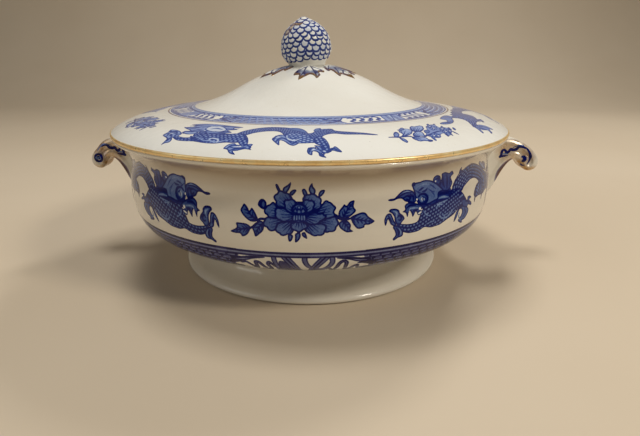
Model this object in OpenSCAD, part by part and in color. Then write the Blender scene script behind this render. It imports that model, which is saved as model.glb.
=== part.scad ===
// Round covered soup tureen: bowl on a spreading foot ring, two scroll
// handles, and a lift-off domed cover with a flange, a cone finial and
// leaf sprigs. Millimetres, +Z up. The origin is on the table at the
// centre of the foot ring. The handles lie along X, the right one at +X.

/* [Bowl] */
// Radius of the bowl's lip and of the cover's edge
rim_r = 120; // [112:0.5:128]
// Height of the bowl's rim above the table
rim_z = 85; // [82:0.5:90]
// Widest radius of the belly
belly_r = 112; // [108:0.5:114]
// Height of the widest part of the belly
belly_z = 56; // [53:0.5:58]
// Radius of the slight waist under the lip
waist_r = 110.3; // [107:0.1:112]
// Height of the waist
waist_z = 69.6; // [67:0.1:72]
// Wall thickness of the bowl and the cover
wall = 4.5; // [3.5:0.1:5.5]
// Width of the seat on top of the rim
seat_w = 9.5; // [7:0.5:11]

/* [Foot ring] */
// Radius of the foot ring's rounded lip at the table
foot_r = 83.5; // [80:0.5:88]
// Height of the bowl's flat underside above the table
bottom_z = 15; // [13:0.5:17]
// Radius where the foot ring's outside meets the bowl
foot_neck_r = 67.8; // [65:0.1:69]

/* [Cover] */
// Height of the cover's upright edge band
edge_h = 1.9; // [1.2:0.1:3]
// Gap between the cover and the rim at rest
seat_gap = 0.08; // [0.05:0.01:0.3]
// Height of the flat shoulder of the cover
shoulder_z = 97.3; // [95:0.1:99]
// Radius of the flat shoulder
shoulder_r = 82; // [78:0.5:86]
// Height of the crown of the dome
crown_z = 122; // [118:0.1:126]
// Outside radius of the locating flange
flange_r = 103.4; // [101:0.1:104]
// Thickness of the locating flange
flange_t = 3.6; // [3:0.1:4.5]
// Depth of the flange below the seat
flange_drop = 7; // [4:0.5:9]

/* [Handles] */
// Reach of the right handle from the tureen's axis
handle_reach = 146; // [143:0.5:150]
// Reach of the left handle, luted on a little closer
handle_reach_left = 144; // [143:0.5:150]
// Width of a handle along Y
handle_w = 15; // [12:0.5:18]

/* [Finial] */
// Widest radius of the finial's cone
cone_r = 15.2; // [13:0.1:17]
// Height of the cone's tip above the table, before it leans
cone_top = 150; // [146:0.5:154]
// Lean of the cone towards -X, in degrees
cone_lean = 5.5; // [0:0.5:6]
// How far the cone's foot sits off the axis, towards -X
cone_shift = 1.6; // [0:0.1:3]
// Number of leaf sprigs around the finial
leaf_count = 6; // [4:1:6]
// Reach of a leaf sprig's tip from the tureen's axis
leaf_len = 33; // [30:0.5:36]
// Raised height of a leaf
leaf_h = 1.6; // [1:0.1:2.5]

/* [Hidden] */
$fn = 96;
glaze_white = "#ece7d8";
glaze_warm = "#e4dcc8";
cobalt = "#2b3c78";

// ---- curve helpers ----
// point at t (0 to 1) on the cubic Bezier curve from start to end
function bezier(start, pull_start, pull_end, end, t) =
    pow(1 - t, 3) * start + 3 * t * pow(1 - t, 2) * pull_start
    + 3 * t * t * (1 - t) * pull_end + pow(t, 3) * end;
// count points of that curve, leaving out its start
function curve(start, pull_start, pull_end, end, count) =
    [for (i = [1 : count]) bezier(start, pull_start, pull_end, end, i / count)];

// point of a closed list, wrapping round at both ends
function wrapped(points, i) = points[(i + len(points)) % len(points)];
// Catmull-Rom point at t (0 to 1) between points i and i + 1 of a closed list
function spline(points, i, t) =
    let (before = wrapped(points, i - 1), from = wrapped(points, i),
         to = wrapped(points, i + 1), after = wrapped(points, i + 2))
    0.5 * (2 * from + (to - before) * t
        + (2 * before - 5 * from + 4 * to - after) * t * t
        + (3 * from - before - 3 * to + after) * t * t * t);
// smooth closed curve through the points, in so many steps from each to the next
function smooth(points, steps) =
    [for (i = [0 : len(points) - 1]) for (k = [0 : steps - 1]) spline(points, i, k / steps)];

function unit(v) = v / norm(v);
// direction of an open list at point i
function tangent(points, i) =
    unit(points[min(i + 1, len(points) - 1)] - points[max(i - 1, 0)]);
// the open list moved sideways, to the left of its direction
function beside(points, distance) =
    [for (i = [0 : len(points) - 1])
        let (t = tangent(points, i)) points[i] + distance * [-t[1], t[0]]];
function reversed(points) = [for (i = [len(points) - 1 : -1 : 0]) points[i]];

// ---- bowl: profiles are [radius, height], from the underside up to the lip ----
under_r = 62;    // edge of the flat underside
floor_r = 58;    // edge of the flat floor inside
lip_round = 0.9; // inset of the seat's outer edge from the lip
seat_bevel = 0.8;
mouth_r = rim_r - lip_round - seat_w;
floor_z = bottom_z + wall;

under_edge = [under_r, bottom_z];
belly = [belly_r, belly_z];
waist = [waist_r, waist_z];
rim = [rim_r, rim_z];
bowl_out = concat(
    [under_edge],
    curve(under_edge, under_edge + [38, 12.6], belly - [0, 28], belly, 18),
    curve(belly, belly + [0, 6], waist - [0, 5], waist, 6),
    curve(waist, waist + [0, 6], rim - [5.5, 4.6], rim - [0.8, 1.3], 9),
    [rim - [0.15, 0.8], rim - [0.4, 0.2], rim - [lip_round, 0]]);
// inside of the wall: the outside moved inwards, ending under the seat
bowl_in = beside([for (p = bowl_out) if (p[1] < waist_z + 6 && p[0] > under_r + 1) p], wall);

module bowl() {
    color(glaze_warm)
    rotate_extrude()
    polygon(concat(
        [[0, bottom_z]],
        bowl_out,
        [[mouth_r + seat_bevel, rim_z], [mouth_r, rim_z - seat_bevel]],
        [for (p = reversed(bowl_in)) if (p[1] > floor_z + 0.4 && p[1] < rim_z - 6) p],
        [[floor_r, floor_z], [0, floor_z]]));
}

// ---- foot ring: spreading, with a rounded lip on the table ----
foot_top_in_r = under_r + 1.2;
foot_shoulder = [foot_r - 4.2, 5.1]; // where the lip turns into the slope
// outside [radius, height], from the table up
foot_out = concat(
    [[foot_r - 2.2, 0], [foot_r - 0.9, 0.35], [foot_r - 0.1, 1.3], [foot_r, 2.4],
     [foot_r - 0.5, 3.6], [foot_r - 1.6, 4.5], foot_shoulder],
    curve(foot_shoulder, [foot_r - 10.6, 6.1],
          [foot_neck_r + 1.4, 8], [foot_neck_r, bottom_z + 2.3], 8));
// inside, from the top down; the top is sunk into the bowl
foot_in = [
    [foot_top_in_r, bottom_z + 0.7], [foot_top_in_r, bottom_z - 2.5],
    [foot_neck_r - 0.6, 7], [foot_r - 7, 2.2], [foot_r - 4.6, 0]];

module foot_ring() {
    color(glaze_warm)
    rotate_extrude()
    polygon(concat(foot_out, foot_in));
}

// ---- handles: a solid scroll, rounded across its width ----
// Outline of the right scroll: [x, z, share of a change in reach].
// It starts at the top root and runs clockwise, with X to the right and Z up.
scroll_reach = 147.5; // reach of the outline as listed
scroll_table = [
    [113.6, 79.6, 0], [118.5, 79.2, 0], [123.5, 78.6, 0], [128.5, 77.9, 0],
    [133.5, 76.2, 0], [138.5, 73.8, 0.5], [143, 70.6, 1], [146.4, 66.6, 1],
    [147.5, 62.8, 1], [146.2, 59.2, 1], [143.2, 57.4, 1], [139.6, 57.6, 0.7],
    [135.9, 59.6, 0], [133, 62.6, 0], [130.6, 64.7, 0], [128.2, 63.7, 0],
    [125.6, 60.6, 0], [122.8, 55.6, 0], [120.2, 50, 0], [117.4, 44.8, 0],
    [113, 40, 0], [108.4, 38.4, 0], [108.9, 45, 0], [109.6, 53, 0],
    [109.5, 61, 0], [108.4, 68.5, 0], [109.4, 75, 0]];
function scroll(reach) =
    smooth([for (p = scroll_table) [p[0] + p[2] * (reach - scroll_reach), p[1]]], 3);

// The edges round off in a quarter ellipse, so deep and so wide along Y.
round_depth = 2.6;
round_w = 3;
// Rounding starts at this X and is full after the blend; the root stays full.
root_x = 110;
root_blend = 6;
// places of the outlines across the handle, as shares of its half width
station_shares = [-1, -0.93, -0.8, -0.66, -0.3, 0.3, 0.66, 0.8, 0.93, 1];

function edge_inset(y) =
    let (into = max(0, abs(y) - (handle_w / 2 - round_w)) / round_w)
    round_depth * (1 - sqrt(max(0, 1 - pow(into, 2))));
function rounding_share(x) = min(1, max(0, (x - root_x) / root_blend));
// the outline at y, drawn in by its inset there
function section_at(outline, y) =
    [for (i = [0 : len(outline) - 1])
        let (p = outline[i],
             t = unit(wrapped(outline, i + 1) - wrapped(outline, i - 1)),
             inset = edge_inset(y) * rounding_share(p[0]))
        [p[0] + t[1] * inset, y, p[1] - t[0] * inset]];

// a handle on the +X side, skinned over its sections
module handle(reach) {
    outline = scroll(reach);
    count = len(outline);
    last = len(station_shares) - 1;
    polyhedron(
        points = [for (share = station_shares) each section_at(outline, share * handle_w / 2)],
        faces = concat(
            [[for (i = [0 : count - 1]) i]],
            [for (j = [0 : last - 1]) for (i = [0 : count - 1])
                let (next = (i + 1) % count)
                [j * count + i, (j + 1) * count + i,
                 (j + 1) * count + next, j * count + next]],
            [[for (i = [count - 1 : -1 : 0]) last * count + i]]));
}

module handle_right() {
    color(glaze_warm) handle(handle_reach);
}

module handle_left() {
    color(glaze_warm) mirror([1, 0, 0]) handle(handle_reach_left);
}

// ---- cover: [radius, height] from the edge up to the crown ----
edge_z = rim_z + seat_gap;
edge_top = edge_z + edge_h;
edge_bevel = 0.5;
lid_seat_in_r = rim_r - 6.4; // inner radius of the cover's resting face

dome_edge = [rim_r - 0.35, edge_top];
shoulder = [shoulder_r, shoulder_z];
haunch = [43.2, crown_z - 12]; // where the rise from the shoulder turns into the cap
dome = concat(
    [dome_edge],
    curve(dome_edge, [rim_r - 8, edge_top + 5.7], shoulder + [16, -1.1], shoulder, 12),
    curve(shoulder, shoulder + [-13, 0.9], [55, crown_z - 18.6], haunch, 12),
    curve(haunch, [34, crown_z - 6.85], [20, crown_z - 0.9], [6, crown_z], 12));
dome_in = beside(dome, wall);

module lid() {
    color(glaze_white)
    rotate_extrude()
    polygon(concat(
        [[lid_seat_in_r, edge_z], [rim_r - 0.7, edge_z],
         [rim_r, edge_z + edge_bevel], [rim_r, edge_top - edge_bevel]],
        dome,
        [[0, crown_z], [0, crown_z - wall]],
        [for (p = reversed(dome_in)) if (p[0] < lid_seat_in_r - 2 && p[0] > 1) p]));
}

// ---- flange: a ring luted under the cover, standing down into the mouth ----
flange_in_r = flange_r - flange_t;
flange_z = rim_z - flange_drop;
flange_bevel = 0.9;

module lid_flange() {
    color(glaze_white)
    rotate_extrude()
    polygon([
        [flange_in_r + flange_bevel, flange_z], [flange_r - flange_bevel, flange_z],
        [flange_r, flange_z + flange_bevel], [flange_r, rim_z + 5.6],
        [flange_in_r, rim_z + 6.2], [flange_in_r, flange_z + flange_bevel]]);
}

// ---- finial: a leaning cone on the crown ----
cone_h = cone_top - crown_z;
cone_sink = 1.6; // depth of its foot below the crown
cone_foot = [10.9, 0];
cone_widest = [cone_r, 0.32 * cone_h];
cone_profile = concat(
    [[0, -cone_sink], [10.4, -cone_sink], cone_foot],
    curve(cone_foot, [12.2, 3.0], [cone_r, 5.6], cone_widest, 8),
    curve(cone_widest, [cone_r, 0.75 * cone_h], [8.4, 0.85 * cone_h], [0.8, cone_h], 12),
    [[0, cone_h]]);

module finial_cone() {
    color(glaze_white)
    translate([-cone_shift, 0, crown_z])
    rotate([0, -cone_lean, 0])
    rotate_extrude()
    polygon(cone_profile);
}

// ---- leaves: lobed sprigs laid on the dome, all raised by one height ----
// One side of a sprig: [distance from the axis, half width], root to tip.
// The root is fixed; the blade is listed for a reach of 33 and scales with it.
leaf_root = [[11.5, 2.4], [14, 4.2], [16.4, 6.6]];
leaf_blade = [
    [19.6, 8.3], [19.8, 5.2], [22, 6.0], [25, 7.6], [28.2, 8.2],
    [26.6, 5.2], [27.2, 3.6], [30, 1.9], [33, 0.25]];
leaf_side = concat(leaf_root, [for (p = leaf_blade) p * (leaf_len / 33)]);
leaf_outline = concat([for (p = leaf_side) [p[0], -p[1]]], reversed(leaf_side));
leaf_turn = -95; // angle of the first sprig about Z
leaf_sink = 0.5; // depth of the leaves into the dome
// the part of the dome under the leaves, with a margin
leaf_dome = [for (p = dome) if (p[0] < leaf_len + 16) p];

// upright prisms of the sprigs, cut to a thin shell that follows the dome
module finial_leaves() {
    color(cobalt)
    intersection() {
        union() for (i = [0 : leaf_count - 1])
            rotate([0, 0, leaf_turn + i * 360 / leaf_count])
            translate([0, 0, crown_z - 16])
            linear_extrude(height = 24)
            polygon(leaf_outline);
        rotate_extrude()
        polygon(concat(
            [for (p = leaf_dome) p - [0, leaf_sink]],
            [[0, crown_z - leaf_sink], [0, crown_z + leaf_h]],
            [for (p = reversed(leaf_dome)) p + [0, leaf_h]]));
    }
}

bowl();
foot_ring();
handle_left();
handle_right();
lid();
lid_flange();
finial_cone();
finial_leaves();
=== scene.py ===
"""Round covered soup tureen in blue-and-white printed earthenware.

It stands on z = 0 with its axis on z, its handles at +x (right) and -x (left) and its front at
-y. Shapes are worked out in millimetres, and build() turns them into metres. Node and light
values are in metres. Profiles are lists of (radius, height). Angles round the axis start at +x.
"""
import bpy
import math
import numpy as np
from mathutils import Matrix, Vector


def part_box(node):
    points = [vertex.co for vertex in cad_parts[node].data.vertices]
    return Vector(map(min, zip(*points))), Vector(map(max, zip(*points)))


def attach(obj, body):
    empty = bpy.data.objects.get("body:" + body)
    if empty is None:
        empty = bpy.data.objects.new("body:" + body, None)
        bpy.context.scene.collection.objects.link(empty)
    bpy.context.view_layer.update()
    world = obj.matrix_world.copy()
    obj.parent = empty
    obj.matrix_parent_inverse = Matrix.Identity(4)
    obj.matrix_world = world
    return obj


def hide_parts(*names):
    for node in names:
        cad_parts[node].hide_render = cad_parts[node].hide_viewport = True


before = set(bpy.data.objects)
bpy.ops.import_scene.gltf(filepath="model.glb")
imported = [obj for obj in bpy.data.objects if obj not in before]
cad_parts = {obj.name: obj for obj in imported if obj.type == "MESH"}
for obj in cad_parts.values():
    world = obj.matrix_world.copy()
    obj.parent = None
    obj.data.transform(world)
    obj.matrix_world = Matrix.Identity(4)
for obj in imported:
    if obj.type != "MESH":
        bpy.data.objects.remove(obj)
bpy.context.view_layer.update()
rng = np.random.default_rng(11)
PI = math.pi


# ------------------------------------------------------------------ sizes from the CAD, mm
def cad_size(metres):
    """millimetres, to the nearest half"""
    return round(metres * 2000) / 2


RIM_R = cad_size(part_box("lid")[1].y)            # the bowl's lip and the cover's edge
CROWN_Z = cad_size(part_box("lid")[1].z)          # top of the dome
RIM_Z = cad_size(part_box("bowl")[1].z)
BASE_Z = cad_size(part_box("bowl")[0].z)          # flat underside of the bowl
FOOT_R = cad_size(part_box("foot_ring")[1].y + 0.0001)
FINIAL_Z = cad_size(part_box("finial_cone")[1].z)
REACH_RIGHT = cad_size(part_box("handle_right")[1].x)
REACH_LEFT = cad_size(-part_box("handle_left")[0].x)
EDGE_Z = RIM_Z + 0.08                           # underside of the cover's edge
EDGE_TOP = EDGE_Z + 1.9
BELLY_R, BELLY_Z = 112.0, 56.0
WAIST_R, WAIST_Z = 110.3, 69.6
WALL = 4.5
SEGMENTS = 360                                  # round every turned piece


# ------------------------------------------------------------------ curves and profiles
def points(text):
    """an array from text of x,y pairs"""
    return np.array([[float(number) for number in pair.split(",")] for pair in text.split()])


def bezier(a, b, c, d, steps, first=False):
    """a cubic curve; its first point is left out unless asked for"""
    t = np.linspace(0, 1, steps + 1)[:, None]
    if not first:
        t = t[1:]
    a, b, c, d = (np.array(v, float) for v in (a, b, c, d))
    return (1 - t) ** 3 * a + 3 * t * (1 - t) ** 2 * b + 3 * t * t * (1 - t) * c + t ** 3 * d


def fillet(a, corner, b, steps):
    """a quadratic round from a to b, bending at the corner"""
    t = np.linspace(0, 1, steps + 1)[:, None]
    a, c, b = (np.array(v, float) for v in (a, corner, b))
    return (1 - t) ** 2 * a + 2 * t * (1 - t) * c + t * t * b


def spline(path, steps, closed=False):
    """a Catmull-Rom curve through the points"""
    p = np.asarray(path, float)
    if closed:
        q = np.vstack([p[-1:], p, p[:2]])
    else:
        q = np.vstack([2 * p[0] - p[1], p, 2 * p[-1] - p[-2]])
    t = np.linspace(0, 1, steps, endpoint=False)[:, None]
    out = np.vstack([
        0.5 * (2 * b + (c - a) * t + (2 * a - 5 * b + 4 * c - d) * t * t
               + (3 * b - a - 3 * c + d) * t ** 3)
        for a, b, c, d in zip(q[:-3], q[1:-2], q[2:-1], q[3:])])
    return out if closed else np.vstack([out, p[-1]])


def tangents(path):
    t = np.gradient(path, axis=0)
    return t / np.linalg.norm(t, axis=1)[:, None]


def offset(path, distance):
    """the path moved to its left"""
    t = tangents(path)
    return path + distance * np.stack([-t[:, 1], t[:, 0]], 1)


def polar(radius, angle, z):
    return np.stack([radius * np.cos(angle), radius * np.sin(angle), z], -1)


class Profile:
    """a turned profile as a function of its arc length; side 1 has its normals on the right"""

    def __init__(self, path, side=1):
        self.path = np.asarray(path, float)
        self.length = np.r_[0, np.cumsum(np.hypot(*np.diff(self.path, axis=0).T))]
        t = tangents(self.path)
        self.normals = np.stack([t[:, 1], -t[:, 0]], 1) * side

    def at(self, s):
        return (np.interp(s, self.length, self.path[:, 0]),
                np.interp(s, self.length, self.path[:, 1]))

    def normal(self, s):
        a = np.interp(s, self.length, self.normals[:, 0])
        b = np.interp(s, self.length, self.normals[:, 1])
        m = np.hypot(a, b)
        return a / m, b / m

    def length_at(self, value, axis):
        """arc length at a radius (axis 0) or a height (axis 1)"""
        column = self.path[:, axis]
        order = np.argsort(column)
        return np.interp(value, column[order], self.length[order])

    def skin(self, s, angle):
        """positions and outward normals on the turned surface"""
        r, z = self.at(s)
        nr, nz = self.normal(s)
        return polar(r, angle, z), polar(nr, angle, nz)


wall_outside = np.vstack([
    bezier([62, BASE_Z], [100, BASE_Z + 12.6], [BELLY_R, BELLY_Z - 28], [BELLY_R, BELLY_Z],
           44, True),
    bezier([BELLY_R, BELLY_Z], [BELLY_R, BELLY_Z + 6], [WAIST_R, WAIST_Z - 5],
           [WAIST_R, WAIST_Z], 12),
    bezier([WAIST_R, WAIST_Z], [WAIST_R, WAIST_Z + 6], [RIM_R - 5.5, RIM_Z - 4.6],
           [RIM_R - 0.9, RIM_Z - 1.6], 18)])
dome_outside = np.vstack([
    bezier([RIM_R - 0.35, EDGE_TOP], [RIM_R - 8, EDGE_TOP + 5.7], [98, 96.2], [82, 97.3],
           34, True),
    bezier([82, 97.3], [69, 98.2], [55, CROWN_Z - 18.6], [43.2, CROWN_Z - 12], 30),
    bezier([43.2, CROWN_Z - 12], [34, CROWN_Z - 6.85], [20, CROWN_Z - 0.9], [6, CROWN_Z], 26)])
WALL_PROFILE = Profile(wall_outside)
DOME_PROFILE = Profile(dome_outside[::-1], side=-1)     # from the crown outwards


# ------------------------------------------------------------------ meshes
def warp(v):
    """the slight unevenness of a hand-finished pot, shared by all pieces and flat at the foot"""
    x, y, z = v[:, 0], v[:, 1], v[:, 2]
    angle, radius = np.arctan2(y, x), np.hypot(x, y)
    swell = 1 + 0.0011 * np.cos(2 * angle + 0.5) + 0.0006 * np.cos(3 * angle - 1.1)
    height = np.clip(z / 60, 0, 1)
    lift = height * (radius / 120) * (0.13 * np.cos(2 * angle + 2.0)
                                      + 0.06 * np.cos(3 * angle + 0.4))
    return np.stack([x * swell, y * swell, z + lift], 1)


def turned(v, degrees, flip=False):
    """mirrored in x if flip is set, then turned about the axis"""
    v = v.copy()
    if flip:
        v[:, 0] *= -1
    a = math.radians(degrees)
    x = v[:, 0] * math.cos(a) - v[:, 1] * math.sin(a)
    y = v[:, 0] * math.sin(a) + v[:, 1] * math.cos(a)
    return np.stack([x, y, v[:, 2]], 1)


def face_outwards(v, groups):
    """reverses every face where the enclosed volume comes out negative"""
    volume = 0.0
    for g in groups:
        a = v[g[:, 0]]
        for k in range(1, g.shape[1] - 1):
            volume += np.einsum("ij,ij->i", a, np.cross(v[g[:, k]], v[g[:, k + 1]])).sum()
    return [g[:, ::-1] for g in groups] if volume < 0 else groups


def build(name, v, groups, material, body, slot, paint=None, sharp=38.0, stands=None):
    """an object from points in mm and face arrays, one per face size

    paint holds (tone, gold) per point, and stands names the CAD piece it replaces.
    """
    v = np.asarray(v, float)
    groups = face_outwards(v, groups)
    v = warp(v)
    mesh = bpy.data.meshes.new(name)
    mesh.vertices.add(len(v))
    mesh.vertices.foreach_set("co", (v * 0.001).astype(np.float32).ravel())
    loops = np.concatenate([g.ravel() for g in groups]).astype(np.int32)
    sizes = np.concatenate([np.full(len(g), g.shape[1]) for g in groups])
    mesh.loops.add(len(loops))
    mesh.loops.foreach_set("vertex_index", loops)
    mesh.polygons.add(len(sizes))
    mesh.polygons.foreach_set("loop_start", np.r_[0, np.cumsum(sizes)[:-1]].astype(np.int32))
    mesh.update(calc_edges=True)
    mesh.validate()
    mesh.polygons.foreach_set("use_smooth", np.ones(len(mesh.polygons), bool))
    mesh.set_sharp_from_angle(angle=math.radians(sharp))
    if paint is not None:
        colour = np.zeros((len(v), 4), np.float32)
        colour[:, :2] = paint
        colour[:, 3] = 1
        layer = mesh.color_attributes.new("Paint", "FLOAT_COLOR", "POINT")
        layer.data.foreach_set("color", colour.ravel())
    mesh.materials.append(material)
    mesh.update()
    ob = bpy.data.objects.new(name, mesh)
    bpy.context.scene.collection.objects.link(ob)
    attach(ob, body)
    if stands:
        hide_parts(stands)


def lathe(profile, ring=False):
    """a turned surface from a profile with both ends on the axis, or a closed ring"""
    angle = np.arange(SEGMENTS) * 2 * PI / SEGMENTS
    v, rows = [], []
    count = 0
    for r, z in profile:
        if r < 1e-6:
            v.append([[0, 0, z]])
            rows.append(np.full(SEGMENTS, count))
            count += 1
        else:
            v.append(polar(r, angle, np.full(SEGMENTS, z)))
            rows.append(count + np.arange(SEGMENTS))
            count += SEGMENTS
    pairs = list(zip(rows[:-1], rows[1:]))
    if ring:
        pairs.append((rows[-1], rows[0]))
    quads, triangles = [], []
    for a, b in pairs:
        a2, b2 = np.roll(a, -1), np.roll(b, -1)
        if a[0] == a[1]:
            triangles.append(np.stack([a, b, b2], 1))
        elif b[0] == b[1]:
            triangles.append(np.stack([a, b, a2], 1))
        else:
            quads.append(np.stack([a, b, b2, a2], 1))
    return np.vstack(v), [np.vstack(g) for g in (quads, triangles) if g]


# ------------------------------------------------------------------ painting in the flat, mm
ALL = (slice(None), slice(None))


class Canvas:
    """a flat grid: cover is where paint lies, tone runs from 0 (bare glaze) to 1 (full cobalt)
    and gold is gilding; pen scales line widths"""

    def __init__(self, x0, x1, y0, y1, step, columns=0, pen=1.0):
        self.step, self.pen = step, pen
        self.xs = (np.linspace(x0, x1, columns + 1) if columns
                   else np.arange(x0, x1 + step / 2, step))
        self.ys = np.arange(y0, y1 + step / 2, step)
        self.step_x = self.xs[1] - self.xs[0]
        self.X, self.Y = np.meshgrid(self.xs, self.ys)
        self.cover, self.gold = np.zeros_like(self.X), np.zeros_like(self.X)
        self.tone = np.ones_like(self.X)

    def window(self, path, pad):
        """the part of the grid round a path"""
        lo, hi = path[:, :2].min(0) - pad, path[:, :2].max(0) + pad

        def span(low, high, start, step, count):
            ends = [(low - start) / step - 1, (high - start) / step + 3]
            return slice(*np.clip(ends, 0, count).astype(int))
        return (span(lo[1], hi[1], self.ys[0], self.step, len(self.ys)),
                span(lo[0], hi[0], self.xs[0], self.step_x, len(self.xs)))

    def line_distance(self, window, path):
        """distance to a line of (x, y, half width), negative on it"""
        X, Y = self.X[window], self.Y[window]
        d = np.full(X.shape, 1e9)
        for (x0, y0, r0), (x1, y1, r1) in zip(path[:-1], path[1:]):
            ex, ey = x1 - x0, y1 - y0
            t = np.clip(((X - x0) * ex + (Y - y0) * ey) / (ex * ex + ey * ey + 1e-12), 0, 1)
            away = np.hypot(X - x0 - t * ex, Y - y0 - t * ey) - (r0 + (r1 - r0) * t)
            np.minimum(d, away, out=d)
        return d

    def outline_distance(self, window, path):
        """distance to a closed outline, negative inside"""
        X, Y = self.X[window], self.Y[window]
        d = np.full(X.shape, 1e9)
        inside = np.zeros(X.shape, bool)
        for (x0, y0), (x1, y1) in zip(path, np.roll(path, -1, 0)):
            ex, ey = x1 - x0, y1 - y0
            t = np.clip(((X - x0) * ex + (Y - y0) * ey) / (ex * ex + ey * ey + 1e-12), 0, 1)
            np.minimum(d, np.hypot(X - x0 - t * ex, Y - y0 - t * ey), out=d)
            if y0 != y1:
                inside ^= ((y0 > Y) != (y1 > Y)) & (X < x0 + (Y - y0) * ex / (y1 - y0))
        return np.where(inside, -d, d)

    def distance_to(self, path):
        """distance from the whole grid to a smooth thin line"""
        q = spline(path, 6)
        return self.line_distance(ALL, np.column_stack([q, np.zeros(len(q))]))

    def coverage(self, distance):
        return np.clip(0.5 - distance / self.step, 0, 1)

    def over(self, window, distance, tone, cover=True):
        a = self.coverage(distance)
        self.tone[window] = self.tone[window] * (1 - a) + tone * a
        if cover:
            self.cover[window] = np.maximum(self.cover[window], a)

    def lay(self, amount, tone, gold=0.0):
        """mixes a tone and gilding over the whole grid"""
        self.tone = self.tone * (1 - amount) + tone * amount
        self.gold = self.gold * (1 - amount) + gold * amount

    def stripe(self, y0, y1, tone, gold=0.0):
        self.lay(self.coverage(y0 - self.Y) * self.coverage(self.Y - y1), tone, gold)

    def stroke(self, path, widths, tone):
        """a brush stroke; half widths are spread evenly along the path"""
        path, widths = np.asarray(path, float), np.atleast_1d(widths)
        r = np.interp(np.linspace(0, 1, len(path)), np.linspace(0, 1, len(widths)), widths)
        path = np.column_stack([path, r * self.pen])
        q = spline(path, 5) if len(path) > 2 else path
        window = self.window(q, q[:, 2].max() + 1)
        self.over(window, self.line_distance(window, q), tone)

    def blob(self, path, fill, edge, tone=1.0, smooth=True):
        """a filled outline; tone is the edge's"""
        q = spline(path, 5, True) if smooth else np.asarray(path, float)
        window = self.window(q, 1)
        d = self.outline_distance(window, q)
        self.over(window, d, tone)
        self.over(window, d + edge * self.pen, fill)

    def disc(self, x, y, radius, tone):
        window = self.window(np.array([[x, y]]), radius + 1)
        self.over(window, np.hypot(self.X[window] - x, self.Y[window] - y) - radius, tone)

    def scaly(self, outline, spine, dark, spot, length, width):
        """rows of light scales following a spine, inside a dark outline"""
        o, q = spline(outline, 4, True), spline(spine, 5)
        window = self.window(o, 1)
        X, Y = self.X[window], self.Y[window]
        d = self.outline_distance(window, o)
        nearest, along, across = np.full(X.shape, 1e9), np.zeros(X.shape), np.zeros(X.shape)
        run = 0.0
        for (x0, y0), (x1, y1) in zip(q[:-1], q[1:]):
            ex, ey = x1 - x0, y1 - y0
            size = math.hypot(ex, ey) + 1e-9
            t = np.clip(((X - x0) * ex + (Y - y0) * ey) / (size * size), 0, 1)
            away = np.hypot(X - x0 - t * ex, Y - y0 - t * ey)
            m = away < nearest
            nearest[m] = away[m]
            along[m] = (run + t * size)[m]
            across[m] = (((X - x0) * ey - (Y - y0) * ex) / size)[m]
            run += size
        row = np.floor(across / width)
        u = along / length + 0.5 * (row % 2)
        du, dv = u - np.floor(u) - 0.5, across / width - row - 0.5
        e = np.hypot(du * 1.05 + 0.12, dv * (1.15 - 0.5 * du))
        light = np.clip((0.41 - e) / 0.12, 0, 1)
        tone = dark * (1 - light) + spot * light
        fleck = np.clip((0.13 - e) / 0.06, 0, 1) * 0.20
        tone = tone * (1 - fleck) + 0.75 * fleck
        self.over(window, d, np.where(d > -0.5, 1.0, tone))

    def petal(self, outline, base, streaks, fill):
        """a scalloped petal, outlined dark, with streaks fanning out from its base"""
        q = spline(outline, 7, True)
        far = np.hypot(q[:, 0] - base[0], q[:, 1] - base[1])
        angle = np.arctan2(q[:, 1] - base[1], q[:, 0] - base[0])
        middle = math.atan2(np.sin(angle).sum(), np.cos(angle).sum())
        swing = (angle - middle + PI) % (2 * PI) - PI
        low, high, near, top = swing.min(), swing.max(), far.min(), far.max()
        out = q - q.mean(0)
        out /= np.linalg.norm(out, axis=1)[:, None] + 1e-9
        arc = np.r_[0, np.cumsum(np.hypot(*np.diff(q, axis=0).T))]
        free = np.clip((far - near) / (top - near + 1e-6) * 2.2 - 0.9, 0, 1)
        scallop = arc[-1] / max(4, round(arc[-1] / 4.4))
        q = q + out * (free * (0.62 * np.abs(np.sin(PI * arc / scallop)) - 0.30))[:, None]
        window = self.window(q, 1)
        d = self.outline_distance(window, q)
        self.over(window, d, 1.0)
        X, Y = self.X[window] - base[0], self.Y[window] - base[1]
        a = (np.arctan2(Y, X) - middle + PI) % (2 * PI) - PI
        s = (a - low) / max(high - low, 1e-6) * streaks
        reach = np.where(np.floor(s) % 2 == 0, 0.74, 0.52)
        along = np.clip((np.hypot(X, Y) - near) / max(top - near, 1e-6), 0, 1)
        side = np.abs(s - np.floor(s) - 0.5) * 2
        width = 0.84 * (1 - along / reach)                  # streaks taper outwards
        streak = np.clip((width - (1 - side)) / 0.22 + 0.5, 0, 1) * (along < reach)
        dark = np.maximum(streak, np.clip((0.14 - along) / 0.08, 0, 1))
        tone = fill + 0.06 * (1 - along) - 0.08 * along
        self.over(window, d + 0.50 * self.pen, tone * (1 - dark) + 1.0 * dark, cover=False)

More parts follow.
